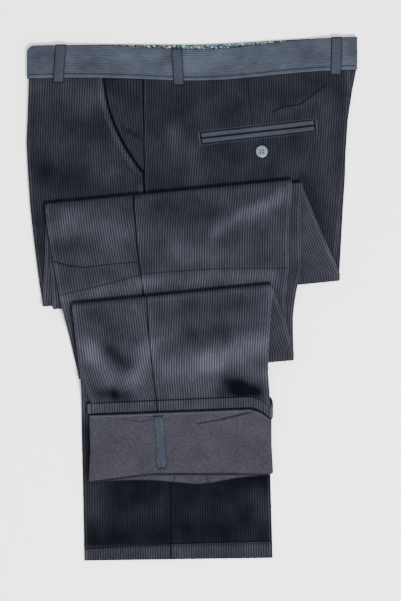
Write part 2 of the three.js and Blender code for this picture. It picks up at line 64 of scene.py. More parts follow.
# Where the legs turn back, along the middle of the photo
turns = {"knee": 11.8, "thigh": 125.3, "shin": -79.6, "calf": -1.6, "cuff": -216, "hem": -127.6}
waistAt = 278
hemAt = -325

# One row for each section: along, both creases of the left leg, of the right leg, side seam, inside seam
sectionColumns = ("at", "leftFront", "leftBack", "rightFront", "rightBack", "outseam", "inseam")
sections = {
    "hip": [
        (278, -202, 198, -200, 206, -59.5, -42),
        (250, -203, 198, -202, 201, -59.5, -42),
        (205, -205, 195, -203, 195, -59, -42),
        (170, -203, 193, -202, 193, -58.5, -42),
        (130, -200, 190, -198, 192, -58, -42),
        (85, -195, 186, -191, 189, -57, -42),
        (45, -190, 182, -182, 187, -56, -42),
        (11.8, -185, 179, -172, 185, -56, -42),
    ],
    "kneeUp": [
        (11.8, -185, 179, -172, 185, -56, -42),
        (60, -182, 154, -175, 164, -63, -46),
        (125.3, -180, 125, -176, 138, -71, -50),
    ],
    "thigh": [
        (125.3, -180, 125, -176, 138, -71, -50),
        (95, -176, 122, -172, 136, -68.5, -48),
        (60, -170, 121, -166, 136, -65.5, -46),
        (25, -164, 121, -161, 137, -60.5, -44),
        (-10, -157, 117, -153, 130, -56, -42),
        (-40, -150, 118, -148, 127, -53, -40),
        (-79.6, -141, 123, -140, 128, -50, -38),
    ],
    "calfUp": [
        (-79.6, -141, 123, -140, 128, -50, -38),
        (-40, -144, 112, -141, 117, -52, -38),
        (-1.6, -146, 100, -142, 102, -54, -38),
    ],
    "shin": [
        (-1.6, -146, 100, -142, 102, -54, -38),
        (-30, -143, 99, -140, 97, -53, -36),
        (-75, -138, 96, -138, 95, -48.5, -33),
        (-100, -132, 96, -137, 95, -45.5, -31),
        (-122, -125, 98, -137, 95, -43, -29),
        (-180, -123, 98, -136, 97, -37.5, -27),
        (-219, -125, 100, -135, 99, -36.5, -26),
        (-325, -125, 100, -133, 102, -36, -25),
    ],
}
tilts = [(-325, 0.015), (-219, 0.03), (-127.6, 0.04), (-77.6, 0.1), (130, 0.1), (278, 0.028)]
waistLift = [(225, 0), (264, 1.9)]
cuffRise = [(-160, 2.3), (-142, 4.6), (-117.6, 4.6), (-97.6, 0)]
# Both folds of the cuff's mouth: how far the upper and under cloth's lie from a straight line across
mouthFrom = -160
mouth = [
    (-128, -6, -7),
    (-77, -0.6, -6.1),
    (-46, 2.5, -7.3),
    (-22, 1.8, -10.5),
    (14, 0.7, -14.3),
    (58, -0.6, -7.2),
    (98, -1.8, -4.3),
]
cuffCorner = {"fromX": 70, "toX": 100, "drop": 17}
dips = {"left": {"foot": 8.5, "top": 11}, "right": {"foot": 4, "top": 4.5}, "middle": 18, "width": 100}
sag = {"depth": 1.9, "from": 30, "over": 40}

# Soft folds in the cloth that shows: ends, height, half-width. A negative one is a trough.
ridges = {
    "hip": [
        (122, 226, 178, 252, 2, 10),
        (-188, 190, -120, 140, 1.5, 16),
        (100, 233, 140, 240, -0.9, 3.5),
        (140, 241, 168, 263, -1.2, 3.5),
        (-150, 262, -100, 205, 0.9, 11),
        (-30, 175, 40, 152, 1.1, 15),
        (95, 165, 165, 178, 1.2, 12),
    ],
    "thigh": [
        (20, 84, 100, 126, 4, 14),
        (-165, 76, -80, 98, 3, 13),
        (-120, 26, 60, 34, 2.5, 12),
        (-170, 46, -112, 38, -1.2, 4),
        (-112, 39, -60, 46, -1, 4),
        (-50, 58, 40, 62, 1.4, 10),
        (60, 20, 115, 60, 1.2, 12),
    ],
    "shin": [
        (-135, -56, -55, -102, 3, 12),
        (-25, -72, 75, -84, 4, 20),
        (-120, -35, -60, -60, 1.2, 9),
        (10, -40, 85, -52, 1.3, 9),
    ],
    "cuff": [
        (5, -160, 90, -140, 1.5, 9),
        (-110, -205, -60, -165, 1.5, 14),
        (7, -157, 64, -146, -1.1, 2.5),
        (20, -200, 85, -180, 1, 13),
    ],
}


# How light the pile is painted, from 0 to 1: the pile's tone with painted sheen and shade on each stretch,
# and soft patches of painted highlight and shade laid out like the folds.
# Below 0 the pile is painted as dark as the ground between two wales.
paintedLightOfLayer = {"hip": 0.2, "kneeUp": 0.42, "thigh": 0.34, "calfUp": 0.36, "shin": 0.42, "foot": 0.05}
# Patches of painted highlight: ends, how much lighter, half-width; one with a negative amount is painted
# shade
paintedSheenAndShadePatches = {
    "hip": [
        (-185, 262, -120, 250, 0.12, 18),
        (-118, 170, -100, 160, 0.12, 18),
        (-22, 212, -18, 170, 0.10, 9),
        (4, 190, 8, 150, 0.10, 9),
        (168, 240, 180, 100, 0.10, 12),
        (-180, 150, -120, 140, -0.08, 18),
        (-80, 250, -70, 215, -0.06, 12),
        (112, 230, 160, 250, 0.14, 5),
    ],
    "thigh": [
        (-150, 92, -95, 78, 0.24, 20),
        (30, 84, 112, 126, 0.42, 9),
        (-20, 58, 50, 50, 0.16, 13),
        (-160, -2, -60, 18, 0.24, 8),
        (-60, 18, 100, 29, 0.26, 8),
        (-40, 112, 50, 98, -0.16, 16),
        (-170, 62, -120, 66, -0.12, 9),
    ],
    "shin": [
        (-126, -60, -119, -72, 0.5, 10),
        (-118, -74, -100, -98, 0.26, 11),
        (-100, -66, -78, -84, -0.34, 10),
        (-120, -18, -95, -40, -0.10, 18),
        (-72, -102, -52, -62, 0.42, 12),
        (-30, -90, 30, -80, 0.34, 14),
        (24, -78, 84, -58, 0.4, 14),
        (2, -46, 40, -42, -0.22, 14),
        (44, -104, 58, -110, -0.38, 10),
        (60, -110, 80, -114, -0.34, 9),
        (36, -118, 84, -118, -0.2, 6),
        (-112, -120, -98, -118, -0.3, 8),
        (-92, -122, -78, -120, -0.24, 8),
        (-40, -12, 60, -6, -0.14, 14),
        (92, -50, 94, -110, 0.1, 6),
    ],
    "foot": [
        (-122, -240, -120, -268, 0.16, 13),
        (80, -246, 88, -268, 0.12, 15),
        (-70, -262, 20, -270, 0.05, 14),
    ],
}
# The right leg's pile is lighter over the last 17 mm of its hem. On the cuff: the pile level of the turned
# hem band, painted shade on the under cloth beneath the upper fold, and a painted shadow in the pile next to
# the raw edge.
hemBand = {"right": 17, "nap": 0.26}
cuffPaintedLight = {"under": -0.2, "hem": 0.44, "rawEdge": -0.6}


def smooth(t):
    t = np.clip(t, 0, 1)
    return t * t * (3 - 2 * t)


def lookUp(rows, column, at):
    rows = sorted(rows)
    return np.interp(at, [row[0] for row in rows], [row[column] for row in rows])


def sectionAt(layer, column, at):
    return lookUp(sections[layer], sectionColumns.index(column), at)


def steppedFall(start):
    steps = 5
    length = 50
    return [(start - length * i / steps, 1 - float(smooth(i / steps))) for i in range(steps + 1)]


kneeFall = steppedFall(14)
shinFall = steppedFall(-77.6)


def flatY(x, at):
    return at + lookUp(tilts, 1, at) * x


# A bell curve, 1 at its middle
def bell(offset, width):
    return np.exp(-((offset / width) ** 2))


# How far a rounded edge falls away, from 1 at the edge to 0 where the round ends
def edgeFall(fromEdge, radius):
    short = 1 - np.clip(fromEdge / radius, 0, 1)
    return 1 - np.sqrt(1 - short * short)


def dip(x, depth):
    return -depth * bell(x - dips["middle"], dips["width"])


def sectionY(side, x, at):
    return flatY(x, at) + dip(x, dips[side]["foot"]) * smooth((at - 200) / 78)


# The waist sinks a little between its two edges
def waistSag(inFromEdge):
    return sag["depth"] * smooth((inFromEdge - sag["from"]) / sag["over"])


def ridgeHeight(rows, x, y):
    height = np.zeros(np.broadcast(x, y).shape)
    for x0, y0, x1, y1, tall, width in rows:
        ax, ay = x1 - x0, y1 - y0
        share = np.clip(((x - x0) * ax + (y - y0) * ay) / (ax * ax + ay * ay), 0, 1)
        height = height + tall * bell(np.hypot(x - x0 - share * ax, y - y0 - share * ay), width)
    return height


# Gentle unevenness, the same on every run: a few crossing waves with no common period
def unevenness(x, y, length):
    total = 0
    for i, turnBy in enumerate((0.3, 1.7, 2.6, 4.1, 5.2)):
        k = 2 * math.pi / (length * (1 + 0.37 * i))
        total = total + np.sin(k * (x * math.cos(turnBy) + y * math.sin(turnBy)) + 1.9 * i)
    return total / 5


def layerHeight(layer, at):
    if layer == "hip":
        return restHeight + lookUp(waistLift, 1, at)
    if layer == "kneeUp":
        return restHeight + layerRise + 0 * at
    fallen = restHeight + 2 * layerRise * lookUp(kneeFall, 1, at)
    if layer == "thigh":
        return fallen
    if layer == "calfUp":
        return fallen + layerRise
    return fallen + 2 * layerRise * lookUp(shinFall, 1, at)


upwards = {"hip": 1, "kneeUp": -1, "thigh": 1, "calfUp": -1, "shin": 1}


# A place along a leg: its layer, and how far along and how far from the leg's middle each face lies
def straight(layer, at, outside=outerFace, inside=innerFace, rolled=False):
    return {"layer": layer, "at": (at, at), "far": (outside, inside), "rolled": rolled}


def turnOver(layer, nextLayer, at, way, steps):
    places = []
    for i in range(1, steps):
        place = straight(layer, at)
        place.update(nextLayer=nextLayer, way=way, angle=math.pi * i / steps)
        places.append(place)
    return places


def rollOver(at, way, middle, radii, steps):
    places = []
    for i in range(1, steps):
        angle = math.pi * i / steps
        ats = tuple(at + way * r * math.sin(angle) for r in radii)
        fars = tuple(middle - r * math.cos(angle) for r in radii)
        places.append({"layer": "shin", "at": ats, "far": fars, "rolled": True})
    return places


def marks(start, end, step, extra=()):
    count = max(1, round(abs(start - end) / step))
    found = [start + (end - start) * i / count for i in range(count + 1)]
    low, high = min(start, end), max(start, end)
    found += [m for m in extra if low < m < high and min(abs(m - f) for f in found) > 0.8]
    return sorted(found, reverse=start > end)


def route(side):
    kneeMarks = [row[0] for row in kneeFall]
    shinMarks = [row[0] for row in shinFall]
    places = [straight("hip", at) for at in marks(waistAt, 116, 5.5, (225, 264))]
    places += [straight("hip", at) for at in (95, 65, 37, turns["knee"])]
    places += turnOver("hip", "kneeUp", turns["knee"], -1, 9)
    places += [straight("kneeUp", at) for at in (turns["knee"], 40, 68, 96, turns["thigh"])]
    places += turnOver("kneeUp", "thigh", turns["thigh"], 1, 10)
    places += [straight("thigh", at) for at in marks(turns["thigh"], 4, 5.5, kneeMarks)]
    places += [straight("thigh", at) for at in (-6, -16, -26, -36, -58, turns["shin"])]
    places += turnOver("thigh", "calfUp", turns["shin"], -1, 8)
    places += [straight("calfUp", at) for at in (turns["shin"], -58, -36, -26, -16, -6, turns["calf"])]
    places += turnOver("calfUp", "shin", turns["calf"], 1, 10)
    places += [straight("shin", at) for at in marks(turns["calf"], turns["hem"], 5.5, kneeMarks + shinMarks)]
    under = (-142, -160, -190, turns["cuff"])
    if side == "right":
        places += [straight("shin", at) for at in under[:-1]]
        places += [straight("shin", at) for at in marks(-206, hemAt, 7)]
        return places
    ply = cloth["ply"]
    places += [straight("shin", at) for at in under]
    places += rollOver(turns["cuff"], -1, ply, (innerFace, outerFace), 7)
    for at in marks(turns["cuff"], turns["hem"], 2.8, (-160, -142)):
        places.append(straight("shin", at, ply + innerFace, ply + outerFace, True))
    places += rollOver(turns["hem"], 1, 2 * ply, (outerFace, innerFace), 7)
    for at in marks(turns["hem"], turns["hem"] - 13, 3):
        places.append(straight("shin", at, 2 * ply + outerFace, 2 * ply + innerFace, True))
    return places


def loft(place, at, x, y):
    layer = place["layer"]
    front, back = sectionAt(layer, "leftFront", at), sectionAt(layer, "leftBack", at)
    inFromEdge = np.minimum(x - front, back - x)
    soft = smooth((inFromEdge - 4) / 30)
    if layer == "hip":
        quiet = 1 - smooth((at - 245) / 15)
        swell = ridgeHeight(ridges["hip"], x, y) + 0.5 * unevenness(x, y, 62)
        return smooth((at - 135) / 50) * (soft * quiet * swell - waistSag(inFromEdge))
    if layer == "thigh":
        swell = 0.9 + ridgeHeight(ridges["thigh"], x, y) + 0.5 * unevenness(x, y, 55)
        return smooth((at - 14) / 14) * smooth((turns["thigh"] - at) / 16) * soft * swell
    if layer == "shin" and place["rolled"]:
        swell = 0.8 + ridgeHeight(ridges["cuff"], x, y) + 0.4 * unevenness(x, y, 48)
        return soft * smooth((at - turns["cuff"]) / 20) * swell
    if layer == "shin":
        swell = 0.9 + ridgeHeight(ridges["shin"], x, y) + 0.5 * unevenness(x, y, 50)
        return smooth((turns["calf"] - at) / 18) * smooth((at + 114) / 14) * soft * swell
    return 0 * x


def cornerShare(x):
    return np.clip((x - cuffCorner["fromX"]) / (cuffCorner["toX"] - cuffCorner["fromX"]), 0, 1)


# Puts a row of points of one face in space. outX and outN say which way is out of the leg there.
def placeRow(side, place, face, x, outX, outN, dent):
    left = side == "left"
    far = place["far"][face] - dent
    px = x + outX * far
    n = (cloth["ply"] if left else -cloth["ply"]) + (1 if left else -1) * outN * far
    if "angle" in place:
        radius = cloth["foldRadius"] + place["way"] * n
        at = place["at"][face] + place["way"] * radius * math.sin(place["angle"])
        middle = (layerHeight(place["layer"], at) + layerHeight(place["nextLayer"], at)) / 2
        return np.stack([px, flatY(px, at), middle - radius * math.cos(place["angle"])], 1)
    at = place["at"][face] + 0 * px
    upper = (1 + outN) / 2
    if left and place["layer"] == "shin":
        move = lookUp(mouth, 2, px) * (1 - upper) + lookUp(mouth, 1, px) * upper
        at = at + move * smooth((mouthFrom - at) / (mouthFrom - turns["cuff"]))
        n = n + lookUp(cuffRise, 1, at)
    y = sectionY(side, px, at)
    if place.get("rolled"):
        along = float(smooth((place["at"][face] - turns["cuff"]) / (turns["hem"] - turns["cuff"])))
        y = y - upper * cuffCorner["drop"] * cornerShare(px) ** 2 * along
    z = layerHeight(place["layer"], at) + upwards[place["layer"]] * n
    if left:
        z = z + np.maximum(outN, 0) * loft(place, np.full(px.shape, place["at"][face]), px, y)
    return np.stack([px, y, z], 1)


# How light the pile of a row of points is painted: its tone with painted sheen and painted shade
def paintedLightOf(side, place, x, y, outN):
    layer = place["layer"]
    if place.get("rolled"):
        onHem = place["far"][0] > 2 * cloth["ply"]
        atEdge = place["at"][0] < turns["hem"] - 11
        upper = cuffPaintedLight["rawEdge"] if onHem and atEdge else cuffPaintedLight["hem"]
        return np.where(outN > -0.2, upper + 0.06 * unevenness(x, y, 38), cuffPaintedLight["under"])
    if side == "right" and layer == "shin":
        share = float(smooth((-130 - place["at"][0]) / 30))
        base = paintedLightOfLayer["shin"] * (1 - share) + paintedLightOfLayer["foot"] * share
        patches = ridgeHeight(paintedSheenAndShadePatches["foot"], x, y) * share
        patches = patches + hemBand["nap"] * smooth(hemAt + hemBand["right"] + 1 - place["at"][0])
    else:
        base = paintedLightOfLayer[layer]
        if "angle" in place:
            share = place["angle"] / math.pi
            base = base * (1 - share) + paintedLightOfLayer[place["nextLayer"]] * share
        patches = ridgeHeight(paintedSheenAndShadePatches.get(layer, []), x, y)
    return np.clip(base + patches + 0.05 * unevenness(x, y, 38) + 0.03 * unevenness(y, x, 17), -0.3, 1)


pocket = {
    "topX": -109,
    "topY": 276.5,
    "footX": -58.7,
    "footY": 153.8,
    "curve": 1.85,
    "bandWidth": 8,
    "bandRaise": 0.8,
    # How much lighter the pile is on the pocket's opening band
    "toneAndPaintedLight": 0.16,
}


def pocketX(y):
    share = np.clip((pocket["topY"] - y) / (pocket["topY"] - pocket["footY"]), 0, 1)
    return pocket["topX"] + (pocket["footX"] - pocket["topX"]) * share ** pocket["curve"]


def riseX(crease, inseam, at, reach, power):
    share = np.clip((reach - at) / (reach - 37), 0, 1) ** power
    start = crease + np.sign(inseam - crease) * 6
    return start + (inseam - start) * share


dart = {"topX": 69.8, "topY": 271.4, "footX": 76.9, "footY": 215.8, "depth": 0.8, "width": 1.6}


def dartDent(x, y):
    share = (dart["topY"] - y) / (dart["topY"] - dart["footY"])
    middle = dart["topX"] + (dart["footX"] - dart["topX"]) * share
    return dart["depth"] * np.clip(1.15 - share, 0, 1) * bell(x - middle, dart["width"])


# A painted highlight along the folded edges of the legs; painted shade along the seams, and on the back
# panels a painted highlight beside them
creaseHighlight = {"light": 0.16, "width": 2.6}
seamShadeAndHighlight = {"dark": 0.45, "light": 0.12}
panelGrid = {
    "pointsAWale": 3,
    "creaseSteps": 6,
    "restSteps": 6,
    "restSpread": 110,
    "Front": 152,
    "Back": 262,
}
rises = {"Front": (150, 2.2), "Back": (180, 2)}


# Both faces of a panel as grids of points, and how far each point is along and across the cloth
def panelGrids(side, end, innerWales):
    isFront = end == "Front"
    out = -1 if isFront else 1
    fine = cloth["waleSpacing"] / panelGrid["pointsAWale"]
    outerSteps = np.arange(round(panelGrid[end] / fine) + 1)[::-1]
    creaseSteps = panelGrid["creaseSteps"]
    innerSteps = np.arange(1, innerWales * panelGrid["pointsAWale"] + 1)
    innerRest = np.linspace(0, 1, panelGrid["restSteps"] + 1)[1:]
    innerIds = -creaseSteps - np.arange(innerSteps.size + 1)
    ids = np.concatenate([outerSteps, -np.arange(1, creaseSteps), innerIds])
    isGroove = np.concatenate([(ids % panelGrid["pointsAWale"] == 0) * 1.0, 0 * innerRest])
    angles = math.pi * np.arange(1, creaseSteps) / creaseSteps
    places = route(side)
    faces = [[], []]
    naps = []
    for place in places:
        layer, at = place["layer"], place["at"][0]
        spine = float(sectionAt(layer, side + end, at)) - out * outerFace
        outer, inner = float(sectionAt(layer, "outseam", at)), float(sectionAt(layer, "inseam", at))
        opening = False
        if layer == "hip":
            inner = float(riseX(spine, inner, at, *rises[end]))
            if side == "left" and isFront and "angle" not in place:
                mouthX = float(pocketX(sectionY(side, outer, at)))
                opening = outer > mouthX + 0.5
                outer = min(outer, mouthX)
        outerWidth = abs(outer + out * cloth["sewnGap"] / 2 - spine)
        innerWidth = abs(inner + out * cloth["sewnGap"] / 2 - spine)
        reach = np.minimum(outerSteps * fine, outerWidth)
        innerReach = np.minimum(innerSteps * fine, innerWidth)
        innerReach = np.concatenate([innerReach, innerReach[-1] + (innerWidth - innerReach[-1]) * innerRest])
        flat = 0 * innerReach
        x = np.concatenate([spine - out * reach, np.full(creaseSteps, spine), spine - out * innerReach])
        outX = np.concatenate([0 * reach, out * np.sin(angles), [0], flat])
        outN = np.concatenate([0 * reach + 1, np.cos(angles), [-1], flat - 1])
        onTop = outN > 0.9
        edge = np.concatenate([outerWidth - reach, np.full(creaseSteps, 99.0), innerWidth - innerReach])
        rounding = edgeFall(edge, cloth["edgeRound"])
        toneAndPaintedLight = 0 * x
        dent = 0.62 * rounding + isGroove * cloth["waleDepth"] * np.clip(edge / 2, 0, 1)
        if side == "left" and layer == "hip" and not isFront:
            dent = dent + onTop * dartDent(x, sectionY(side, x, at))
        if opening:
            inBand = smooth((pocket["bandWidth"] - edge) / 1.5) * onTop
            dent = dent - pocket["bandRaise"] * inBand * (1 - rounding)
            dent = dent + 0.35 * bell(edge - pocket["bandWidth"], 0.8) * onTop
            toneAndPaintedLight = pocket["toneAndPaintedLight"] * inBand
        faces[0].append(placeRow(side, place, 0, x, outX, outN, dent))
        faces[1].append(placeRow(side, place, 1, x, outX, outN, 0 * dent))
        fromCrease = np.concatenate([reach, np.zeros(creaseSteps), innerReach])
        # Painted highlight along the folds, painted shade along the seams and a painted highlight beside the
        # back panels' seams
        toneAndPaintedLight = toneAndPaintedLight + creaseHighlight["light"] * bell(fromCrease, creaseHighlight["width"])
        toneAndPaintedLight = toneAndPaintedLight - seamShadeAndHighlight["dark"] * bell(edge, 0.9) * onTop
        if not isFront:
            toneAndPaintedLight = toneAndPaintedLight + seamShadeAndHighlight["light"] * bell(edge - 2.4, 1.1) * onTop
        naps.append(paintedLightOf(side, place, faces[0][-1][:, 0], faces[0][-1][:, 1], outN) + toneAndPaintedLight)
    outside = np.array(faces[0])
    along = lengthsAlong(outside[:, outerSteps.size - 1])
    farAcross = np.concatenate([innerSteps, innerSteps[-1] + innerRest * panelGrid["restSpread"] / fine])
    across = np.concatenate([outerSteps, -np.arange(1, creaseSteps + 1), -creaseSteps - farAcross]) * fine
    return outside, np.array(faces[1]), across, along, places, np.array(naps)


def lengthsAlong(points):
    return np.concatenate([[0], np.cumsum(np.linalg.norm(np.diff(points, axis=0), axis=1))])


def deselectAll():
    if bpy.context.object and bpy.context.object.mode != "OBJECT":
        bpy.ops.object.mode_set(mode="OBJECT")
    bpy.ops.object.select_all(action="DESELECT")


def pick(piece):
    deselectAll()
    piece.select_set(True)
    bpy.context.view_layer.objects.active = piece


def applyModifier(piece, name):
    pick(piece)
    bpy.ops.object.modifier_apply(modifier=name)


# Shapes a grid primitive into a sheet with two faces, and lays its own wale coordinates on it.
def clothSheet(name, outside, inside, across, along, looks, nap):
    rows, columns = outside.shape[:2]
    deselectAll()
    bpy.ops.mesh.primitive_grid_add(x_subdivisions=columns - 1, y_subdivisions=rows - 1, size=1)
    piece = bpy.context.object
    piece.name = name
    piece.data.name = name
    thicken = piece.modifiers.new("Thickness", "SOLIDIFY")
    thicken.thickness = 0.05
    applyModifier(piece, "Thickness")
    mesh = piece.data
    count = rows * columns
    if len(mesh.vertices) != 2 * count:
        raise RuntimeError(name + ": the grid has another number of points")
    points = np.concatenate([toMetres(outside).reshape(-1, 3), toMetres(inside).reshape(-1, 3)])
    mesh.vertices.foreach_set("co", points.ravel())
    corner = np.empty(len(mesh.loops), int)
    mesh.loops.foreach_get("vertex_index", corner)
    spot = corner % count
    uv = np.stack([across[spot % columns], along[spot // columns]], 1) * metre
    layer = mesh.uv_layers.active or mesh.uv_layers.new(name="cloth")
    layer.name = "cloth"
    layer.data.foreach_set("uv", uv.ravel())
    toneAndPaintedLight = mesh.attributes.new("nap", "FLOAT", "POINT")
    toneAndPaintedLight.data.foreach_set("value", np.tile(np.broadcast_to(nap, (rows, columns)).ravel(), 2))
    for look in looks:
        mesh.materials.append(look)
    if len(looks) > 1:
        inner = [int(min(polygon.vertices) >= count) for polygon in mesh.polygons]
        mesh.polygons.foreach_set("material_index", inner)
    mesh.update()
    pick(piece)
    bpy.ops.object.mode_set(mode="EDIT")
    bpy.ops.mesh.select_all(action="SELECT")
    bpy.ops.mesh.remove_doubles(threshold=1e-6)
    bpy.ops.mesh.dissolve_degenerate(threshold=1e-7)
    bpy.ops.object.mode_set(mode="OBJECT")
    if signedVolume(mesh) < 0:
        bpy.ops.object.mode_set(mode="EDIT")
        bpy.ops.mesh.select_all(action="SELECT")
        bpy.ops.mesh.flip_normals()
        bpy.ops.object.mode_set(mode="OBJECT")
    bpy.ops.object.shade_smooth_by_angle(angle=math.radians(62))
    return piece


def signedVolume(mesh):
    mesh.calc_loop_triangles()
    points = np.empty(len(mesh.vertices) * 3)
    mesh.vertices.foreach_get("co", points)
    points = points.reshape(-1, 3)
    corners = np.empty(len(mesh.loop_triangles) * 3, int)
    mesh.loop_triangles.foreach_get("vertices", corners)
    a, b, c = (points[corners.reshape(-1, 3)[:, i]] for i in range(3))
    return float(np.sum(a * np.cross(b, c)))


# The button is a solid whose middle is known in both frames, which gives the shift between them.
buttonPlace = {"x": 88, "y": 182}
buttonLow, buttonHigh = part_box("back_pocket_button")
shift = np.array(
    [
        (buttonLow[0] + buttonHigh[0]) / 2 / metre - buttonPlace["x"],
        (buttonLow[1] + buttonHigh[1]) / 2 / metre - buttonPlace["y"],
        0,
    ]
)


def toMetres(points):
    return (np.asarray(points, float) + shift) * metre


# Shader maths as expressions
class Wire:
    def __init__(self, tree, socket):
        self.tree = tree
        self.socket = socket

    def node(self, kind, settings=None, values=None, output=0):
        made = self.tree.nodes.new(kind)
        for key, value in (settings or {}).items():
            if key == "stops":
                ramp = made.color_ramp
                while len(ramp.elements) < len(value):
                    ramp.elements.new(0.5)
                for stop, (position, colour) in zip(ramp.elements, value):
                    stop.position = position
                    stop.color = (*colour, 1)
            else:
                setattr(made, key, value)
        for key, value in (values or {}).items():
            if isinstance(value, Wire):
                self.tree.links.new(value.socket, made.inputs[key])
            else:
                made.inputs[key].default_value = value
        return Wire(self.tree, made.outputs[output])

    def maths(self, operation, first, second=0.0):
        return self.node("ShaderNodeMath", {"operation": operation}, {0: first, 1: second})

    def __add__(self, other):
        return self.maths("ADD", self, other)

    def __radd__(self, other):
        return self.maths("ADD", other, self)

    def __sub__(self, other):
        return self.maths("SUBTRACT", self, other)

    def __rsub__(self, other):
        return self.maths("SUBTRACT", other, self)

    def __mul__(self, other):
        return self.maths("MULTIPLY", self, other)

    def __rmul__(self, other):
        return self.maths("MULTIPLY", other, self)

    def __truediv__(self, other):
        return self.maths("DIVIDE", self, other)

    def __pow__(self, other):
        return self.maths("POWER", self, other)


def newMaterial(name, settings):
    made = bpy.data.materials.new(name)
    made.use_nodes = True
    shader = made.node_tree.nodes["Principled BSDF"]
    for key, value in settings.items():
        shader.inputs[key].default_value = value
    return made, shader, Wire(made.node_tree, None)


def link(wire, shader, socketName):
    wire.tree.links.new(wire.socket, shader.inputs[socketName])


def clamped(wire):
    return wire.maths("MINIMUM", wire.maths("MAXIMUM", wire, 0.0), 1.0)


def split(wire, kind="ShaderNodeSeparateXYZ"):
    parts = wire.tree.nodes.new(kind)
    wire.tree.links.new(wire.socket, parts.inputs[0])
    return [Wire(wire.tree, output) for output in parts.outputs]


def mixColours(wire, share, first, second):
    return wire.node("ShaderNodeMix", {"data_type": "RGBA"}, {"Factor": share, 6: first, 7: second}, 2)


def noise(place, scale, detail, roughness=0.5):
    values = {"Vector": place, "Scale": scale, "Detail": detail, "Roughness": roughness}
    return place.node("ShaderNodeTexNoise", None, values)


def addBump(shader, height, strength, distance):
    values = {"Height": height, "Strength": strength, "Distance": distance}
    link(height.node("ShaderNodeBump", None, values), shader, "Normal")


# The pile is mixed from pile, its colour where painted shade falls, to pileLight, its colour with painted
# sheen; bandLight is that for the finer corduroy. groove is the ground between the wales: its own darker
# colour with painted shade in the grooves.
corduroyLook = {
    "pile": (0.0012, 0.0015, 0.0030, 1),
    "pileLight": (0.052, 0.0525, 0.069, 1),
    "bandLight": (0.043, 0.050, 0.067, 1),
    "groove": (0.0004, 0.0005, 0.0010, 1),
    "settings": {
        "Roughness": 0.85,
        "Specular IOR Level": 0.03,
        "Sheen Weight": 0.02,
        "Sheen Roughness": 0.5,
        "Sheen Tint": (0.62, 0.68, 0.90, 1),
    },
}


# Painted shade in lines along creases and seams of the cloth on top: ends, half-width, how dark, and between
# which heights the cloth lies
creaseShadeLines = [
    (102, 232, 115, 238, 1.0, 0.7, 5, 16),
    (115, 238, 135, 240.6, 1.1, 0.8, 5, 16),
    (135, 240.6, 144, 247, 1.2, 0.8, 5, 16),
    (144, 247, 167, 265, 1.1, 0.7, 5, 16),
    (69.8, 271, 76.9, 216, 0.6, 0.65, 5, 16),
    (89, 192, 89, 170, 0.7, 0.8, 5, 16),
    (-171, 45.5, -152, 40, 1.0, 0.7, 17, 40),
    (-152, 40, -134, 37.7, 1.0, 0.75, 17, 40),
    (-134, 37.7, -107, 41, 0.9, 0.7, 17, 40),
    (-107, 41, -64, 45, 0.8, 0.6, 17, 40),
    (-165, 3, -117, 14, 0.9, 0.5, 17, 40),
    (-117, 14, -57, 30, 0.9, 0.5, 17, 40),
    (-57, 30, 25, 36, 0.9, 0.5, 17, 40),
    (25, 36, 118, 37, 0.9, 0.5, 17, 40),
    (-137, -312.7, -25, -306, 1.1, 1.0, 0, 9),
    (-25, -306, 103, -302.3, 1.1, 1.0, 0, 9),
    (-25.5, -215, -25, -323, 0.9, 1.0, 0, 9),
]
# Painted shade along creases in the fleece and under the fold of the cuff's mouth, in the same columns
fleeceShadeLines = [
    (7, -156, 40, -150, 1.0, 0.6, 8, 40),
    (40, -150, 83, -139, 1.2, 0.7, 8, 40),
    (-85, -150, -62, -154, 0.8, 0.4, 8, 40),
    (-62, -154, -44, -149, 0.8, 0.4, 8, 40),
    (-128, -229, -77, -222.4, 1.0, 0.8, 0, 40),
    (-77, -222.4, -46, -219, 1.1, 0.8, 0, 40),
    (-46, -219, 58, -218.8, 1.2, 0.9, 0, 40),
    (58, -218.8, 97, -219.6, 1.0, 0.7, 0, 40),
    (-24, -232, -20, -220, 0.9, 0.4, 0, 40),
    (18, -221, 22, -230, 1.8, 0.4, 0, 40),
]


# How near a point is to a straight line between two places, from 0 to 1
def nearLine(x, y, row):
    (x0, y0), (x1, y1) = toMetres([(row[0], row[1], 0), (row[2], row[3], 0)])[:, :2].tolist()
    width = row[4] * metre
    longX, longY = x1 - x0, y1 - y0
    share = clamped(((x - x0) * longX + (y - y0) * longY) * (1 / (longX * longX + longY * longY)))
    offX = x - x0 - share * longX
    offY = y - y0 - share * longY
    return x.maths("EXPONENT", (offX * offX + offY * offY) * (-1 / (width * width)))


# Painted shade along the given lines, made patchy by the noise, from 0 to 1
def paintedShadeMask(position, patchy, lines):
    x, y, z = split(position)
    total = None
    for row in lines:
        inside = z.maths("GREATER_THAN", z, row[6] * metre) * z.maths("LESS_THAN", z, row[7] * metre)
        line = nearLine(x, y, row) * inside * row[5]
        total = line if total is None else total.maths("MAXIMUM", total, line)
    return total.maths("MINIMUM", total * (patchy * 0.8 + 0.55), 1.0)


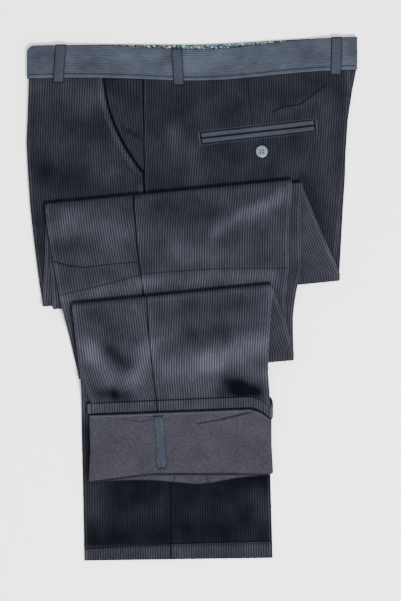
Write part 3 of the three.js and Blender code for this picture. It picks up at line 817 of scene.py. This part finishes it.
# Pile in wales along V of the cloth's own coordinates, as light as the painted pile light says, with random
# mottling and painted shade along lines
def corduroy(name, spacing=cloth["waleSpacing"], grooveShare=1.0, turned=False, lightest="pileLight"):
    look = corduroyLook
    made, shader, wire = newMaterial(name, look["settings"])
    sides = split(wire.node("ShaderNodeTexCoord", output="UV"))
    across, along = (sides[1], sides[0]) if turned else (sides[0], sides[1])
    # The ground between the wales is darker: partly its own colour, partly painted shade in the grooves
    ridge = wire.maths("ABSOLUTE", wire.maths("SINE", across * (math.pi / (spacing * metre))))
    pile = 1.0 - grooveShare * (1.0 - ridge**0.7)
    position = wire.node("ShaderNodeTexCoord", output="Object")
    toneAndPaintedLight = noise(position, 34.0, 5.0)
    fuzz = noise(position, 700.0, 3.0)
    tufts = noise(wire.node("ShaderNodeCombineXYZ", None, {0: across * 400.0, 1: along * 70.0}), 1.0, 3.0)
    nap = wire.node("ShaderNodeAttribute", {"attribute_name": "nap"}, output="Fac")
    # Painted sheen and shade from the attribute, mottled by random noise and with some random tone
    mottledPaintedLight = nap * (toneAndPaintedLight * 0.9 + 0.55) + (toneAndPaintedLight - 0.5) * 0.12
    light = clamped(mottledPaintedLight * (tufts * 0.8 + 0.6) * (fuzz * 0.5 + 0.75))
    streaked = mixColours(wire, light, look["pile"], look[lightest])
    # Painted shade where the attribute goes below 0 and, on the leg corduroy, along the crease lines
    paintedShading = clamped(nap * 2.0 + 1.0)
    if spacing == cloth["waleSpacing"]:
        paintedShading = paintedShading * (1.0 - paintedShadeMask(position, toneAndPaintedLight, creaseShadeLines))
    link(mixColours(wire, pile * paintedShading, look["groove"], streaked), shader, "Base Color")
    addBump(shader, ridge * 0.6 + fuzz * 0.3 + tufts * 0.25, 0.6, 0.0006)
    return made


fleeceLook = {
    "dark": (0.012, 0.0118, 0.0155, 1),
    "light": (0.032, 0.0315, 0.040, 1),
    # The last colour is what painted shade darkens the fleece to
    "paintedShading": (0.0016, 0.0016, 0.0022, 1),
    "settings": {
        "Roughness": 0.95,
        "Specular IOR Level": 0.03,
        "Sheen Weight": 0.03,
        "Sheen Roughness": 0.6,
        "Sheen Tint": (0.8, 0.78, 0.86, 1),
    },
}


def fleece(name):
    look = fleeceLook
    made, shader, wire = newMaterial(name, look["settings"])
    position = wire.node("ShaderNodeTexCoord", output="Object")
    clumps = noise(position, 420.0, 5.0, 0.65)
    patches = noise(position, 38.0, 3.0)
    shade = clamped(clumps * 1.9 - 0.45 + (patches - 0.5) * 0.7)
    nap = wire.node("ShaderNodeAttribute", {"attribute_name": "nap"}, output="Fac")
    # Painted shade where the attribute goes below 0 and along the fleece's shade lines
    paintedLitShare = clamped(nap * 2.2 + 1.0) * (1.0 - paintedShadeMask(position, patches, fleeceShadeLines))
    colour = mixColours(wire, shade * paintedLitShare, look["dark"], look["light"])
    paintedShading = wire.maths("MAXIMUM", 1.0 - paintedLitShare, 0.0)
    link(mixColours(wire, paintedShading * 0.85, colour, look["paintedShading"]), shader, "Base Color")
    addBump(shader, clumps, 0.9, 0.0016)
    return made


def speckledLining(name):
    made, shader, wire = newMaterial(name, {"Roughness": 0.85, "Specular IOR Level": 0.25})
    position = wire.node("ShaderNodeTexCoord", output="Object")
    cells = wire.node("ShaderNodeTexVoronoi", None, {"Vector": position, "Scale": 520.0}, "Color")
    stops = [
        (0.0, (0.008, 0.014, 0.026)),
        (0.3, (0.024, 0.060, 0.070)),
        (0.52, (0.045, 0.115, 0.125)),
        (0.7, (0.26, 0.27, 0.26)),
        (0.84, (0.075, 0.048, 0.030)),
    ]
    ramp = wire.node("ShaderNodeValToRGB", {"stops": stops}, {0: split(cells, "ShaderNodeSeparateColor")[0]})
    ramp.socket.node.color_ramp.interpolation = "CONSTANT"
    link(ramp, shader, "Base Color")
    addBump(shader, noise(position, 1400.0, 2.0), 0.3, 0.0003)
    return made


def threadMaterial(name, colour):
    made, shader, wire = newMaterial(name, {"Roughness": 0.6, "Specular IOR Level": 0.3})
    twist = noise(wire.node("ShaderNodeTexCoord", output="Object"), 1600.0, 2.0)
    darker = tuple(c * 0.45 for c in colour[:3]) + (1,)
    link(mixColours(wire, twist, darker, colour), shader, "Base Color")
    addBump(shader, twist, 0.4, 0.0002)
    return made


def resin(name):
    made, shader, wire = newMaterial(name, {})
    cloud = noise(wire.node("ShaderNodeTexCoord", output="Object"), 210.0, 4.0)
    link(mixColours(wire, cloud, (0.024, 0.042, 0.050, 1), (0.070, 0.098, 0.104, 1)), shader, "Base Color")
    link(cloud * 0.2 + 0.22, shader, "Roughness")
    return made


corduroyMaterial = corduroy("navy corduroy")
bandCorduroy = corduroy("waistband corduroy", 2.4, 0.45, True, "bandLight")
weltCorduroy = corduroy("welt corduroy", 2.4, 0.35, False, "bandLight")
fleeceMaterial = fleece("grey fleece")
liningMaterial = speckledLining("speckled cotton")
seamThread = threadMaterial("navy thread", (0.050, 0.056, 0.080, 1))
overlockThread = threadMaterial("overlock thread", (0.062, 0.066, 0.084, 1))
resinMaterial = resin("grey resin")
print("materials made")


def finishPiece(piece, slot, *nodes):
    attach(piece, "root")
    if nodes:
        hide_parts(*nodes)


# Leg panels. The flat sizes are the whole cut: widest place by full length.
panels = {
    "left_front": {"side": "left", "end": "Front", "innerWales": 8, "cut": (0.31, 1.08), "share": 0.66},
    "left_back": {"side": "left", "end": "Back", "innerWales": 8, "cut": (0.49, 1.06), "share": 0.68},
    "right_front": {"side": "right", "end": "Front", "innerWales": 36, "cut": (0.31, 1.07), "share": 0.66},
    "right_back": {"side": "right", "end": "Back", "innerWales": 42, "cut": (0.49, 1.07), "share": 0.68},
}
panelMeshes = {}
for name, row in panels.items():
    outside, inside, across, along, places, nap = panelGrids(row["side"], row["end"], row["innerWales"])
    if row["side"] == "left":
        isCuff = np.array([place.get("rolled", False) and place["far"][1] > cloth["ply"] for place in places])
        tufts = 0.55 * unevenness(inside[..., 0], inside[..., 1], 3.1)
        inside[..., 2] += np.where(isCuff[:, None], tufts, 0) * (inside[..., 2] > outside[..., 2])
    panelMeshes[name] = outside, inside, places
    looks = [corduroyMaterial, fleeceMaterial]
    piece = clothSheet(name + "_cloth", outside, inside, across, along, looks, nap)
    finishPiece(piece, "corduroy", name)
    row["piece"] = piece
    row["with"] = []
    print(name, "has", len(piece.data.polygons), "faces, widest along", round(along[-1]))


# Height of an upper panel's outside face on the hip, from its own points
def hipHeight(x, y):
    best = None
    for name in ("left_front", "left_back"):
        outside, inside, places = panelMeshes[name]
        rows = [i for i, place in enumerate(places) if place["layer"] == "hip" and "angle" not in place]
        grid = outside[rows]
        row = int(np.argmin(np.abs(grid[:, grid.shape[1] // 3, 1] - y)))
        near = grid[max(0, row - 3) : row + 4].reshape(-1, 3)
        near = near[near[:, 2] > restHeight]
        apart = (near[:, 0] - x) ** 2 + (near[:, 1] - y) ** 2
        order = np.argsort(apart)[:12]
        found = float(apart[order[0]]), float(near[order, 2].max())
        if best is None or found[0] < best[0]:
            best = found
    return best[1]


# Waistband
band = {
    "height": 38.5,
    "thickness": 2.4,
    "foldX": 207,
    "frontX": -204,
    "waleSpacing": 2.4,
    "waleDepth": 0.3,
    "stitchUp": 4.5,
    "stitchWidth": 0.9,
    "frontSteps": (0, 0.2, 0.8, 1.8, 3.2, 5, 7.2),
    "cornerRadius": 9,
    # The band's pile level; the patches add painted highlight and, where negative, painted shade
    "nap": 0.72,
    "patches": [
        (-190, 300, -170, 295, -0.2, 12),
        (-95, 302, -60, 300, 0.12, 12),
        (-40, 290, -28, 300, -0.15, 8),
        (0, 294, 50, 297, 0.18, 12),
        (120, 306, 150, 308, -0.12, 12),
        (185, 300, 195, 300, 0.1, 10),
    ],
    "cut": (0.86, 0.040),
}
loopThickness = 1.6
liningThickness = 1.0
underBandHeight = loopThickness + cloth["seamGap"] + band["thickness"] / 2


def bandTop(side, x):
    return flatY(x, waistAt) + dip(x, dips[side]["top"]) + band["height"] + 3


def bandFoot(side, x):
    return sectionY(side, x, waistAt) + cloth["seamGap"]


def bandHalfHeight(x):
    inFromEdge = np.minimum(x - band["frontX"], band["foldX"] - x)
    level = restHeight + 1.5 * cloth["ply"] + loopThickness + cloth["seamGap"]
    return level - waistSag(inFromEdge)


def bandPaintedLight(points, up):
    x, y = points[..., 0], points[..., 1]
    patches = ridgeHeight(band["patches"], x, y)
    patches = patches + 0.1 * unevenness(x, y * 3, 44) + 0.06 * unevenness(x, y * 2, 21)
    # Painted shade in the groove of the stitch line, and a painted highlight on the ridge below it
    stitchShade = 0.55 * bell(up - band["stitchUp"], band["stitchWidth"])[:, None]
    below = 0.12 * smooth((band["stitchUp"] - 0.8 - up) / 0.8)[:, None]
    return np.clip(band["nap"] + patches + below - stitchShade, -0.3, 1)


# The band's middle from the upper front end round the fold at the centre back to the under front end:
# which half, X, height, the bend's radius and which way is out
def bandPath():
    bend = (float(bandHalfHeight(band["foldX"])) - underBandHeight) / 2
    bendX = band["foldX"] - bend - band["thickness"] / 2
    spots = [band["frontX"] + step for step in band["frontSteps"]]
    spots = np.concatenate([spots, np.arange(band["frontX"] + 10, bendX - 2, 4)])
    path = [("left", x, float(bandHalfHeight(x)), 0, 0, 1) for x in spots]
    for i in range(9):
        angle = math.pi * i / 8
        side = "left" if i <= 4 else "right"
        path.append((side, bendX, underBandHeight + bend, bend, math.sin(angle), math.cos(angle)))
    return path + [("right", x, underBandHeight, 0, 0, -1) for x in spots[::-1]]


def makeWaistband():
    path = bandPath()
    half = band["thickness"] / 2
    fine = band["waleSpacing"] / 3
    reach = np.unique(np.append(np.arange(0, band["height"], fine), band["height"]))
    outside, inside = [], []
    for k, up in enumerate(reach):
        rowOut, rowIn = [], []
        rounding = edgeFall(min(up, band["height"] - up), 1.5)
        groove = band["waleDepth"] if k % 3 == 0 else 0
        stitched = 0.45 * bell(up - band["stitchUp"], band["stitchWidth"])
        for side, x, z, bendBy, outX, outZ in path:
            fromEnd = x - band["frontX"]
            dent = min(0.95, 0.85 * max(rounding, edgeFall(fromEnd, 2)) + groove + stitched)
            foot, top = float(bandFoot(side, x)), float(bandTop(side, x))
            top -= band["cornerRadius"] * edgeFall(fromEnd, band["cornerRadius"])
            y = foot + (top - foot) * up / band["height"]
            sway = 0.25 * float(unevenness(np.array(x), np.array(up * 3.0), 45)) if outZ > 0.5 else 0
            for rows, out in ((rowOut, bendBy + half - dent), (rowIn, bendBy - half)):
                rows.append((x + outX * out, y, z + outZ * out + sway))
        outside.append(rowOut)
        inside.append(rowIn)
    outside, inside = np.array(outside), np.array(inside)
    along, nap = lengthsAlong(outside[0]), bandPaintedLight(outside, reach)
    piece = clothSheet("waistband_cloth", outside, inside, along, reach, [bandCorduroy], nap)
    finishPiece(piece, "corduroy", "waistband")
    return piece


bandPiece = makeWaistband()
print("waistband made")


strip = {"edgeRound": 1.2, "edgeDrop": 0.6, "waleDepth": 0.3, "edgeShadeWidth": 0.7}


def sewOn(owner, *rows):
    panels[owner]["with"] += list(rows)


# Thin strips: a grid of points on what they lie on, a thickness and rounded edges, with their pile painted
# darker along the edges as shade
def laidStrip(
    node, under, thickness, look, slot="corduroy", wales=None, flat=None, rests=(), nap=0.3, edgeShade=0.9
):
    under = np.asarray(under, float)
    rows, columns = under.shape[:2]
    wide, long = lengthsAlong(under[rows // 2]), lengthsAlong(under[:, columns // 2])
    fromSide, fromEnd = np.minimum(wide, wide[-1] - wide), np.minimum(long, long[-1] - long)
    nearest = np.minimum(fromSide[None, :], fromEnd[:, None])
    dent = edgeFall(nearest, strip["edgeRound"]) * thickness * strip["edgeDrop"]
    if wales == "long":
        dent = dent + strip["waleDepth"] * (np.arange(columns) % 3 == 0)[None, :] * (nearest > 0.6)
    outside = under.copy()
    outside[..., 2] += thickness - np.minimum(dent, thickness * 0.8)
    shaded = nap - edgeShade * bell(nearest, strip["edgeShadeWidth"])
    piece = clothSheet(node + "_cloth", outside, under, wide, long, [look], shaded)
    finishPiece(piece, slot, node)
    if flat:
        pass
    else:
        for rest in rests:
            sewOn(rest, piece)


lining = {"fromX": -190, "toX": 190, "foot": 0.1, "top": 0.98, "seen": (0.38, 0.035)}


def makeLining():
    rows = []
    for level in np.linspace(lining["foot"], lining["top"], 10):
        xs = np.linspace(lining["fromX"], lining["toX"], 60)
        foot, top = bandFoot("right", xs), bandTop("right", xs)
        z = underBandHeight + band["thickness"] / 2 + cloth["seamGap"] + 0 * xs
        rows.append(np.stack([xs, foot + (top - foot) * level, z], 1))
    laidStrip(
        "waistband_lining", rows, liningThickness, liningMaterial, "lining",
        flat=lining["seen"], rests=["waistband"],
    )


makeLining()

loopRows = {
    "belt_loop_front": {"footX": -165, "topX": -161.4},
    "belt_loop_side": {"footX": -15, "topX": -18},
    "belt_loop_back": {"footX": 179.8, "topX": 181},
}
loopSize = {"width": 13, "overhang": 6, "arch": 1.2, "seen": (0.013, 0.046)}


def makeLoop(name, row, side):
    isUpper = side == "left"
    rows = []
    for share in np.linspace(0, 1, 25):
        middle = row["footX"] + (row["topX"] - row["footX"]) * share
        low = float(bandFoot(side, middle)) - loopSize["overhang"]
        high = float(bandTop(side, middle)) + 0.5
        xs = np.linspace(middle - loopSize["width"] / 2, middle + loopSize["width"] / 2, 14)
        z = 0 * xs
        if isUpper:
            arch = loopSize["arch"] * float(smooth(share * 5) * smooth((1 - share) * 5))
            seat = float(max(bandHalfHeight(xs[0]), bandHalfHeight(xs[-1]))) + band["thickness"] / 2
            z = z + seat + cloth["seamGap"] + arch
        rows.append(np.stack([xs, 0 * xs + low + (high - low) * share, z], 1))
    laidStrip(
        side + "_" + name, rows, loopThickness, weltCorduroy,
        flat=loopSize["seen"], rests=["waistband"], nap=0.5, edgeShade=0.5,
    )


for name, row in loopRows.items():
    for side in ("left", "right"):
        makeLoop(name, row, side)
print("lining and belt loops made")


facing = {
    "top": 280,
    "foot": 160,
    "underFront": 22,
    "seamX": -51.5,
    "cut": (0.08, 0.12),
    # Painted shade along two creases of the facing
    "creases": [(-85, 211, -62, 199, -0.16, 2.5), (-100, 262, -70, 250, -0.06, 9)],
}


# The facing's pile: painted shade along its creases and a painted shadow next to the pocket's opening
def facingPaintedLight(points):
    x, y = points[..., 0], points[..., 1]
    creased = ridgeHeight(facing["creases"], x, y)
    shadow = bell(np.clip(x - pocketX(y), 0, None), 1.3) * (x > pocketX(y) - 3)
    return 0.21 + creased - 0.8 * shadow


# Facing of the slant pocket, from under the front panel to the side seam
def makeFacing():
    rows = []
    for y in np.linspace(facing["top"], facing["foot"], 24):
        opening = float(pocketX(y))
        xs = np.linspace(opening - facing["underFront"], facing["seamX"], 61)
        level = min(hipHeight(opening - 10, y), hipHeight(-50, y))
        z = 0 * xs + level - 2 * cloth["wall"] - 0.55
        underBand = sectionY("left", xs, waistAt) - 0.3 - (facing["top"] - y) * 0.02
        rows.append(np.stack([xs, np.minimum(flatY(xs, y), underBand), z], 1))
    laidStrip(
        "left_pocket_facing", rows, cloth["wall"], corduroyMaterial, wales="long",
        flat=facing["cut"], rests=["right_front"], nap=facingPaintedLight(np.array(rows)), edgeShade=0,
    )


makeFacing()

welts = {
    "fromX": 11.2,
    "fromY": 198.4,
    "toX": 155,
    "toY": 214.5,
    "width": 7,
    "thickness": 1.0,
}


def weltPoint(share, off):
    x = welts["fromX"] + (welts["toX"] - welts["fromX"]) * share
    y = welts["fromY"] + (welts["toY"] - welts["fromY"]) * share
    length = math.hypot(welts["toX"] - welts["fromX"], welts["toY"] - welts["fromY"])
    return (
        x - (welts["toY"] - welts["fromY"]) / length * off,
        y + (welts["toX"] - welts["fromX"]) / length * off,
    )


def makeWelt(name, way):
    rows = []
    for share in np.linspace(0, 1, 50):
        row = []
        for off in np.linspace(0.4, welts["width"], 8):
            x, y = weltPoint(share, way * off)
            row.append((x, y, hipHeight(x, y) + cloth["seamGap"]))
        rows.append(row)
    laidStrip(name, rows, welts["thickness"], weltCorduroy, wales="long", rests=["left_back"], nap=0.55)


makeWelt("back_pocket_upper_welt", 1)
makeWelt("back_pocket_lower_welt", -1)
print("pocket pieces made")


allowance = {"halfWidth": 6, "fromAt": -214, "toAt": -142, "thickness": 1.0}


# The opened seam on the cuff's fleece, an overlocked strip
def makeAllowance():
    front, back = panelMeshes["left_front"], panelMeshes["left_back"]
    rows = []
    for i, place in enumerate(front[2]):
        onCuff = place["rolled"] and abs(place["far"][1] - cloth["ply"] - outerFace) < 0.01
        if not onCuff or not allowance["fromAt"] < place["at"][0] < allowance["toAt"]:
            continue
        middle = (front[1][i][0] + back[1][i][0]) / 2
        xs = middle[0] + np.linspace(-allowance["halfWidth"], allowance["halfWidth"], 13)
        heights = []
        for x in xs:
            grid = front[1][i] if x < middle[0] else back[1][i]
            top = grid[grid[:, 2] > middle[2] - 3]
            heights.append(top[np.argsort(np.abs(top[:, 0] - x))[:3], 2].max())
        rows.append(np.stack([xs, middle[1] + 0 * xs, np.array(heights) + cloth["seamGap"]], 1))
    laidStrip(
        "left_cuff_seam_allowance", rows, allowance["thickness"], weltCorduroy,
        rests=["left_front"], nap=0.5, edgeShade=0.5,
    )
    return np.array(rows)


allowanceRows = makeAllowance()
print("seam allowance made")

# Upper surface of some pieces near a place, from their own points
def surfaceAt(pieces, spots, lowest, highest):
    clouds = []
    for piece in pieces:
        points = np.empty(len(piece.data.vertices) * 3)
        piece.data.vertices.foreach_get("co", points)
        clouds.append(points.reshape(-1, 3) / metre - shift)
    cloud = np.concatenate(clouds)
    cloud = cloud[(cloud[:, 2] > lowest) & (cloud[:, 2] < highest)]
    low, high = np.min(spots, axis=0) - 8, np.max(spots, axis=0) + 8
    near = np.all((cloud[:, :2] > low) & (cloud[:, :2] < high), axis=1)
    cloud = cloud[near]
    heights = []
    for x, y in spots:
        apart = (cloud[:, 0] - x) ** 2 + (cloud[:, 1] - y) ** 2
        around = cloud[np.argsort(apart)[:40], 2]
        top = around[around > around.max() - 1.4]
        heights.append(float(np.median(top)))
    return np.array(heights)


def pathSpots(corners, spacing):
    corners = np.asarray(corners, float)
    steps = np.linalg.norm(np.diff(corners, axis=0), axis=1)
    reached = np.concatenate([[0], np.cumsum(steps)])
    count = max(2, round(reached[-1] / spacing))
    at = (np.arange(count) + 0.5) * reached[-1] / count
    return np.stack([np.interp(at, reached, corners[:, i]) for i in range(corners.shape[1])], 1)


# One small stitch is modelled and copied along a line, each copy turned by the given angle to the line
def stitchRow(name, spots, heights, look, size=(1.7, 0.5, 0.34), slant=0.0, zigzag=False):
    deselectAll()
    bpy.ops.mesh.primitive_uv_sphere_add(segments=6, ring_count=4, radius=1)
    piece = bpy.context.object
    piece.name = name
    single = len(piece.data.vertices)
    shape = np.empty(single * 3)
    piece.data.vertices.foreach_get("co", shape)
    shape = shape.reshape(-1, 3) * np.array(size) / 2
    copies = piece.modifiers.new("Copies", "ARRAY")
    copies.count = len(spots)
    copies.use_relative_offset = False
    copies.use_constant_offset = True
    copies.constant_offset_displace = (0.01, 0, 0)
    applyModifier(piece, "Copies")
    ahead = np.gradient(spots, axis=0)
    angle = np.arctan2(ahead[:, 1], ahead[:, 0]) + slant
    if zigzag:
        angle = angle + np.where(np.arange(len(spots)) % 2, slant, -3 * slant)
    turnX, turnY = np.cos(angle)[:, None], np.sin(angle)[:, None]
    points = np.empty((len(spots), single, 3))
    points[..., 0] = spots[:, :1] + shape[:, 0] * turnX - shape[:, 1] * turnY
    points[..., 1] = spots[:, 1:2] + shape[:, 0] * turnY + shape[:, 1] * turnX
    points[..., 2] = heights[:, None] + shape[:, 2]
    piece.data.vertices.foreach_set("co", toMetres(points.reshape(-1, 3)).ravel())
    piece.data.materials.append(look)
    piece.data.update()
    pick(piece)
    bpy.ops.object.shade_smooth()
    finishPiece(piece, "corduroy")
    return piece


def clothOf(*names):
    return [bpy.data.objects[name + "_cloth"] for name in names]


stitches = {
    "hem": [(-135.5, -313.7), (-50.8, -307.5), (-23.1, -306.8), (36, -305), (100, -303.3)],
    "hemSpacing": 3.0,
    "pocketIn": 7.4,
    "weltOut": 8.6,
    "cuffEdgeBelow": 2.2,
    "buttonThread": (3.9, 0.8, 0.7),
}


def sewHem():
    spots = pathSpots(stitches["hem"], stitches["hemSpacing"])
    heights = surfaceAt(clothOf("right_front", "right_back"), spots, 0, 9)
    sewOn("right_front", stitchRow("hem_stitches", spots, heights - 0.05, seamThread))


def sewPocket():
    ys = np.linspace(272, 158, 60)
    edge = np.stack([pocketX(ys), ys], 1)
    ahead = np.gradient(edge, axis=0)
    ahead = ahead / np.linalg.norm(ahead, axis=1)[:, None]
    line = edge + np.stack([ahead[:, 1], -ahead[:, 0]], 1) * stitches["pocketIn"]
    spots = pathSpots(line, 3.0)
    heights = surfaceAt(clothOf("left_front"), spots, 7, 16)
    sewOn("left_front", stitchRow("pocket_stitches", spots, heights - 0.1, seamThread))


def sewWelts():
    off, past = stitches["weltOut"], 1.4 / 144
    corners = ((-past, -1), (-past, 1), (1 + past, 1), (1 + past, -1), (-past, -1))
    spots = pathSpots([weltPoint(share, way * off) for share, way in corners], 2.4)
    cloths = clothOf("left_back")
    heights = surfaceAt(cloths, spots, 7, 16)
    rows = [stitchRow("welt_stitches", spots, heights - 0.05, seamThread, (1.6, 0.55, 0.4))]
    for share, name in ((-0.004, "left_tack"), (1.004, "right_tack")):
        tack = pathSpots([weltPoint(share, -7.5), weltPoint(share, 7.5)], 0.7)
        rows.append(stitchRow(name, tack, surfaceAt(cloths, tack, 7, 16) + 1.2, seamThread, slant=1.5))
    hole = pathSpots([(89.3, 175), (89.3, 170)], 0.8)
    holeHeights = surfaceAt(cloths, hole, 7, 16)
    rows.append(stitchRow("buttonhole_stitches", hole, holeHeights, seamThread, (2.2, 0.5, 0.4), 1.5))
    sewOn("left_back", *rows)


def sewBand():
    xs = np.linspace(-200, 196, 120)
    line = np.stack([xs, bandFoot("left", xs) + band["stitchUp"]], 1)
    heights = bandHalfHeight(line[:, 0]) + band["thickness"] / 2 - 0.42
    return stitchRow("band_stitches", line, heights, seamThread, (2.2, 0.5, 0.34))


def sewCuff():
    left = clothOf("left_front", "left_back")
    below = turns["hem"] - 13 - stitches["cuffEdgeBelow"]
    xs = np.linspace(-123, 96, 150)
    line = np.stack([xs, flatY(xs, below) - cuffCorner["drop"] * cornerShare(xs) ** 2 * 0.93], 1)
    heights = surfaceAt(left, line, 6, 40)
    rows = [stitchRow("cuff_overlock", line, heights + 0.1, overlockThread, (2.6, 0.7, 0.5), 0.5, True)]
    for column, end in ((1, "front"), (-2, "back")):
        edge = pathSpots(allowanceRows[:, column, :2], 1.5)
        top = surfaceAt(clothOf("left_cuff_seam_allowance"), edge, 6, 40) + 0.1
        name = "allowance_overlock_" + end
        rows.append(stitchRow(name, edge, top, overlockThread, (2.4, 0.6, 0.45), 0.7, True))
    sewOn("left_front", *rows)


sewHem()
sewPocket()
sewWelts()
bandStitches = sewBand()
sewCuff()
print("stitches sewn")

button = {
    "radius": 7.5,
    "thickness": 2.4,
    "dishRadius": 5.3,
    "dishDepth": 0.7,
    "rimBevel": 0.6,
    "holeRadius": 0.9,
    "holeSpacing": 3.4,
}


def cutWith(piece, radius, x, y, low, high):
    deselectAll()
    bpy.ops.mesh.primitive_cylinder_add(vertices=32, radius=radius * metre, depth=(high - low) * metre)
    tool = bpy.context.object
    tool.location = (x, y, (low + high) / 2 * metre)
    cut = piece.modifiers.new("Cut", "BOOLEAN")
    cut.operation = "DIFFERENCE"
    cut.solver = "EXACT"
    cut.object = tool
    applyModifier(piece, "Cut")
    bpy.data.objects.remove(tool)


def makeButton():
    low = buttonLow[2] / metre
    middle = [(buttonLow[i] + buttonHigh[i]) / 2 for i in range(2)]
    deselectAll()
    bpy.ops.mesh.primitive_cylinder_add(
        vertices=64,
        radius=button["radius"] * metre,
        depth=button["thickness"] * metre,
    )
    piece = bpy.context.object
    piece.name = "back_pocket_button_resin"
    piece.location = (middle[0], middle[1], (low + button["thickness"] / 2) * metre)
    rim = piece.modifiers.new("Rim", "BEVEL")
    rim.width = button["rimBevel"] * metre
    rim.segments = 3
    applyModifier(piece, "Rim")
    top = low + button["thickness"]
    cutWith(piece, button["dishRadius"], middle[0], middle[1], top - button["dishDepth"], top + 1)
    reach = button["holeSpacing"] / 2 * metre
    for wayX in (-1, 1):
        for wayY in (-1, 1):
            spot = middle[0] + wayX * reach, middle[1] + wayY * reach
            cutWith(piece, button["holeRadius"], *spot, low - 1, top + 1)
    pick(piece)
    bpy.ops.object.transform_apply(location=True, rotation=True, scale=True)
    bpy.ops.object.shade_smooth_by_angle(angle=math.radians(35))
    piece.data.materials.clear()
    piece.data.materials.append(resinMaterial)
    finishPiece(piece, "button", "back_pocket_button")
    half = button["holeSpacing"] / 2
    threadHeight = top - button["dishDepth"] + 0.2
    spots = np.array(middle) / metre - shift[:2] + np.array([(-half, 0), (half, 0)])
    heights = np.array([threadHeight, threadHeight])
    thread = stitchRow("button_thread", spots, heights, seamThread, stitches["buttonThread"], 1.57)
    sewOn("left_back", piece, thread)


makeButton()
print("button made")

stage = {"size": 6.0, "height": -0.0004, "colour": (0.97, 0.97, 0.97, 1), "worldStrength": 1.0}
camera = {
    "pixelsWide": 401,
    "pixelsHigh": 601,
    "millimetresAPixel": 1.24,
    "originColumn": 191,
    "originRow": 298,
    "away": 3.2,
    "sharpHeight": 0.015,
    "sensorWidth": 36,
}
lights = {
    "key": {"place": (0.6, -0.85, 2.75), "size": 0.5, "power": 215},
    "fill": {"place": (-0.8, 0.9, 2.6), "size": 2.4, "power": 45},
}


def placeInScene(name, data, place):
    placed = bpy.data.objects.new(name, data)
    bpy.context.collection.objects.link(placed)
    placed.location = place
    return placed


def makeStage():
    deselectAll()
    bpy.ops.mesh.primitive_plane_add(size=stage["size"], location=(0, 0, stage["height"]))
    floor = bpy.context.object
    floor.name = "floor"
    paint = newMaterial("pale floor", {"Roughness": 0.9, "Base Color": stage["colour"]})[0]
    floor.data.materials.append(paint)
    for name, row in lights.items():
        lamp = bpy.data.lights.new(name, "AREA")
        lamp.energy = row["power"]
        lamp.size = row["size"]
        placed = placeInScene(name, lamp, row["place"])
        placed.rotation_euler = (-placed.location).to_track_quat("-Z", "Y").to_euler()
    world = bpy.data.worlds.new("studio")
    world.use_nodes = True
    background = world.node_tree.nodes["Background"]
    background.inputs["Color"].default_value = (1, 1, 1, 1)
    background.inputs["Strength"].default_value = stage["worldStrength"]
    bpy.context.scene.world = world


def makeCamera():
    lens = bpy.data.cameras.new("camera")
    column = camera["pixelsWide"] / 2 - camera["originColumn"]
    row = camera["originRow"] - camera["pixelsHigh"] / 2
    middle = toMetres((column * camera["millimetresAPixel"], row * camera["millimetresAPixel"], 0))
    placed = placeInScene("camera", lens, (middle[0], middle[1], camera["away"]))
    lens.sensor_width = camera["sensorWidth"]
    viewHigh = camera["pixelsHigh"] * camera["millimetresAPixel"] * metre
    lens.lens = lens.sensor_width * (camera["away"] - camera["sharpHeight"]) / viewHigh
    bpy.context.scene.camera = placed


makeStage()
makeCamera()
print("stage, lights and camera made")


def corners(bounds):
    return [[float(v) for v in corner] for corner in bounds]
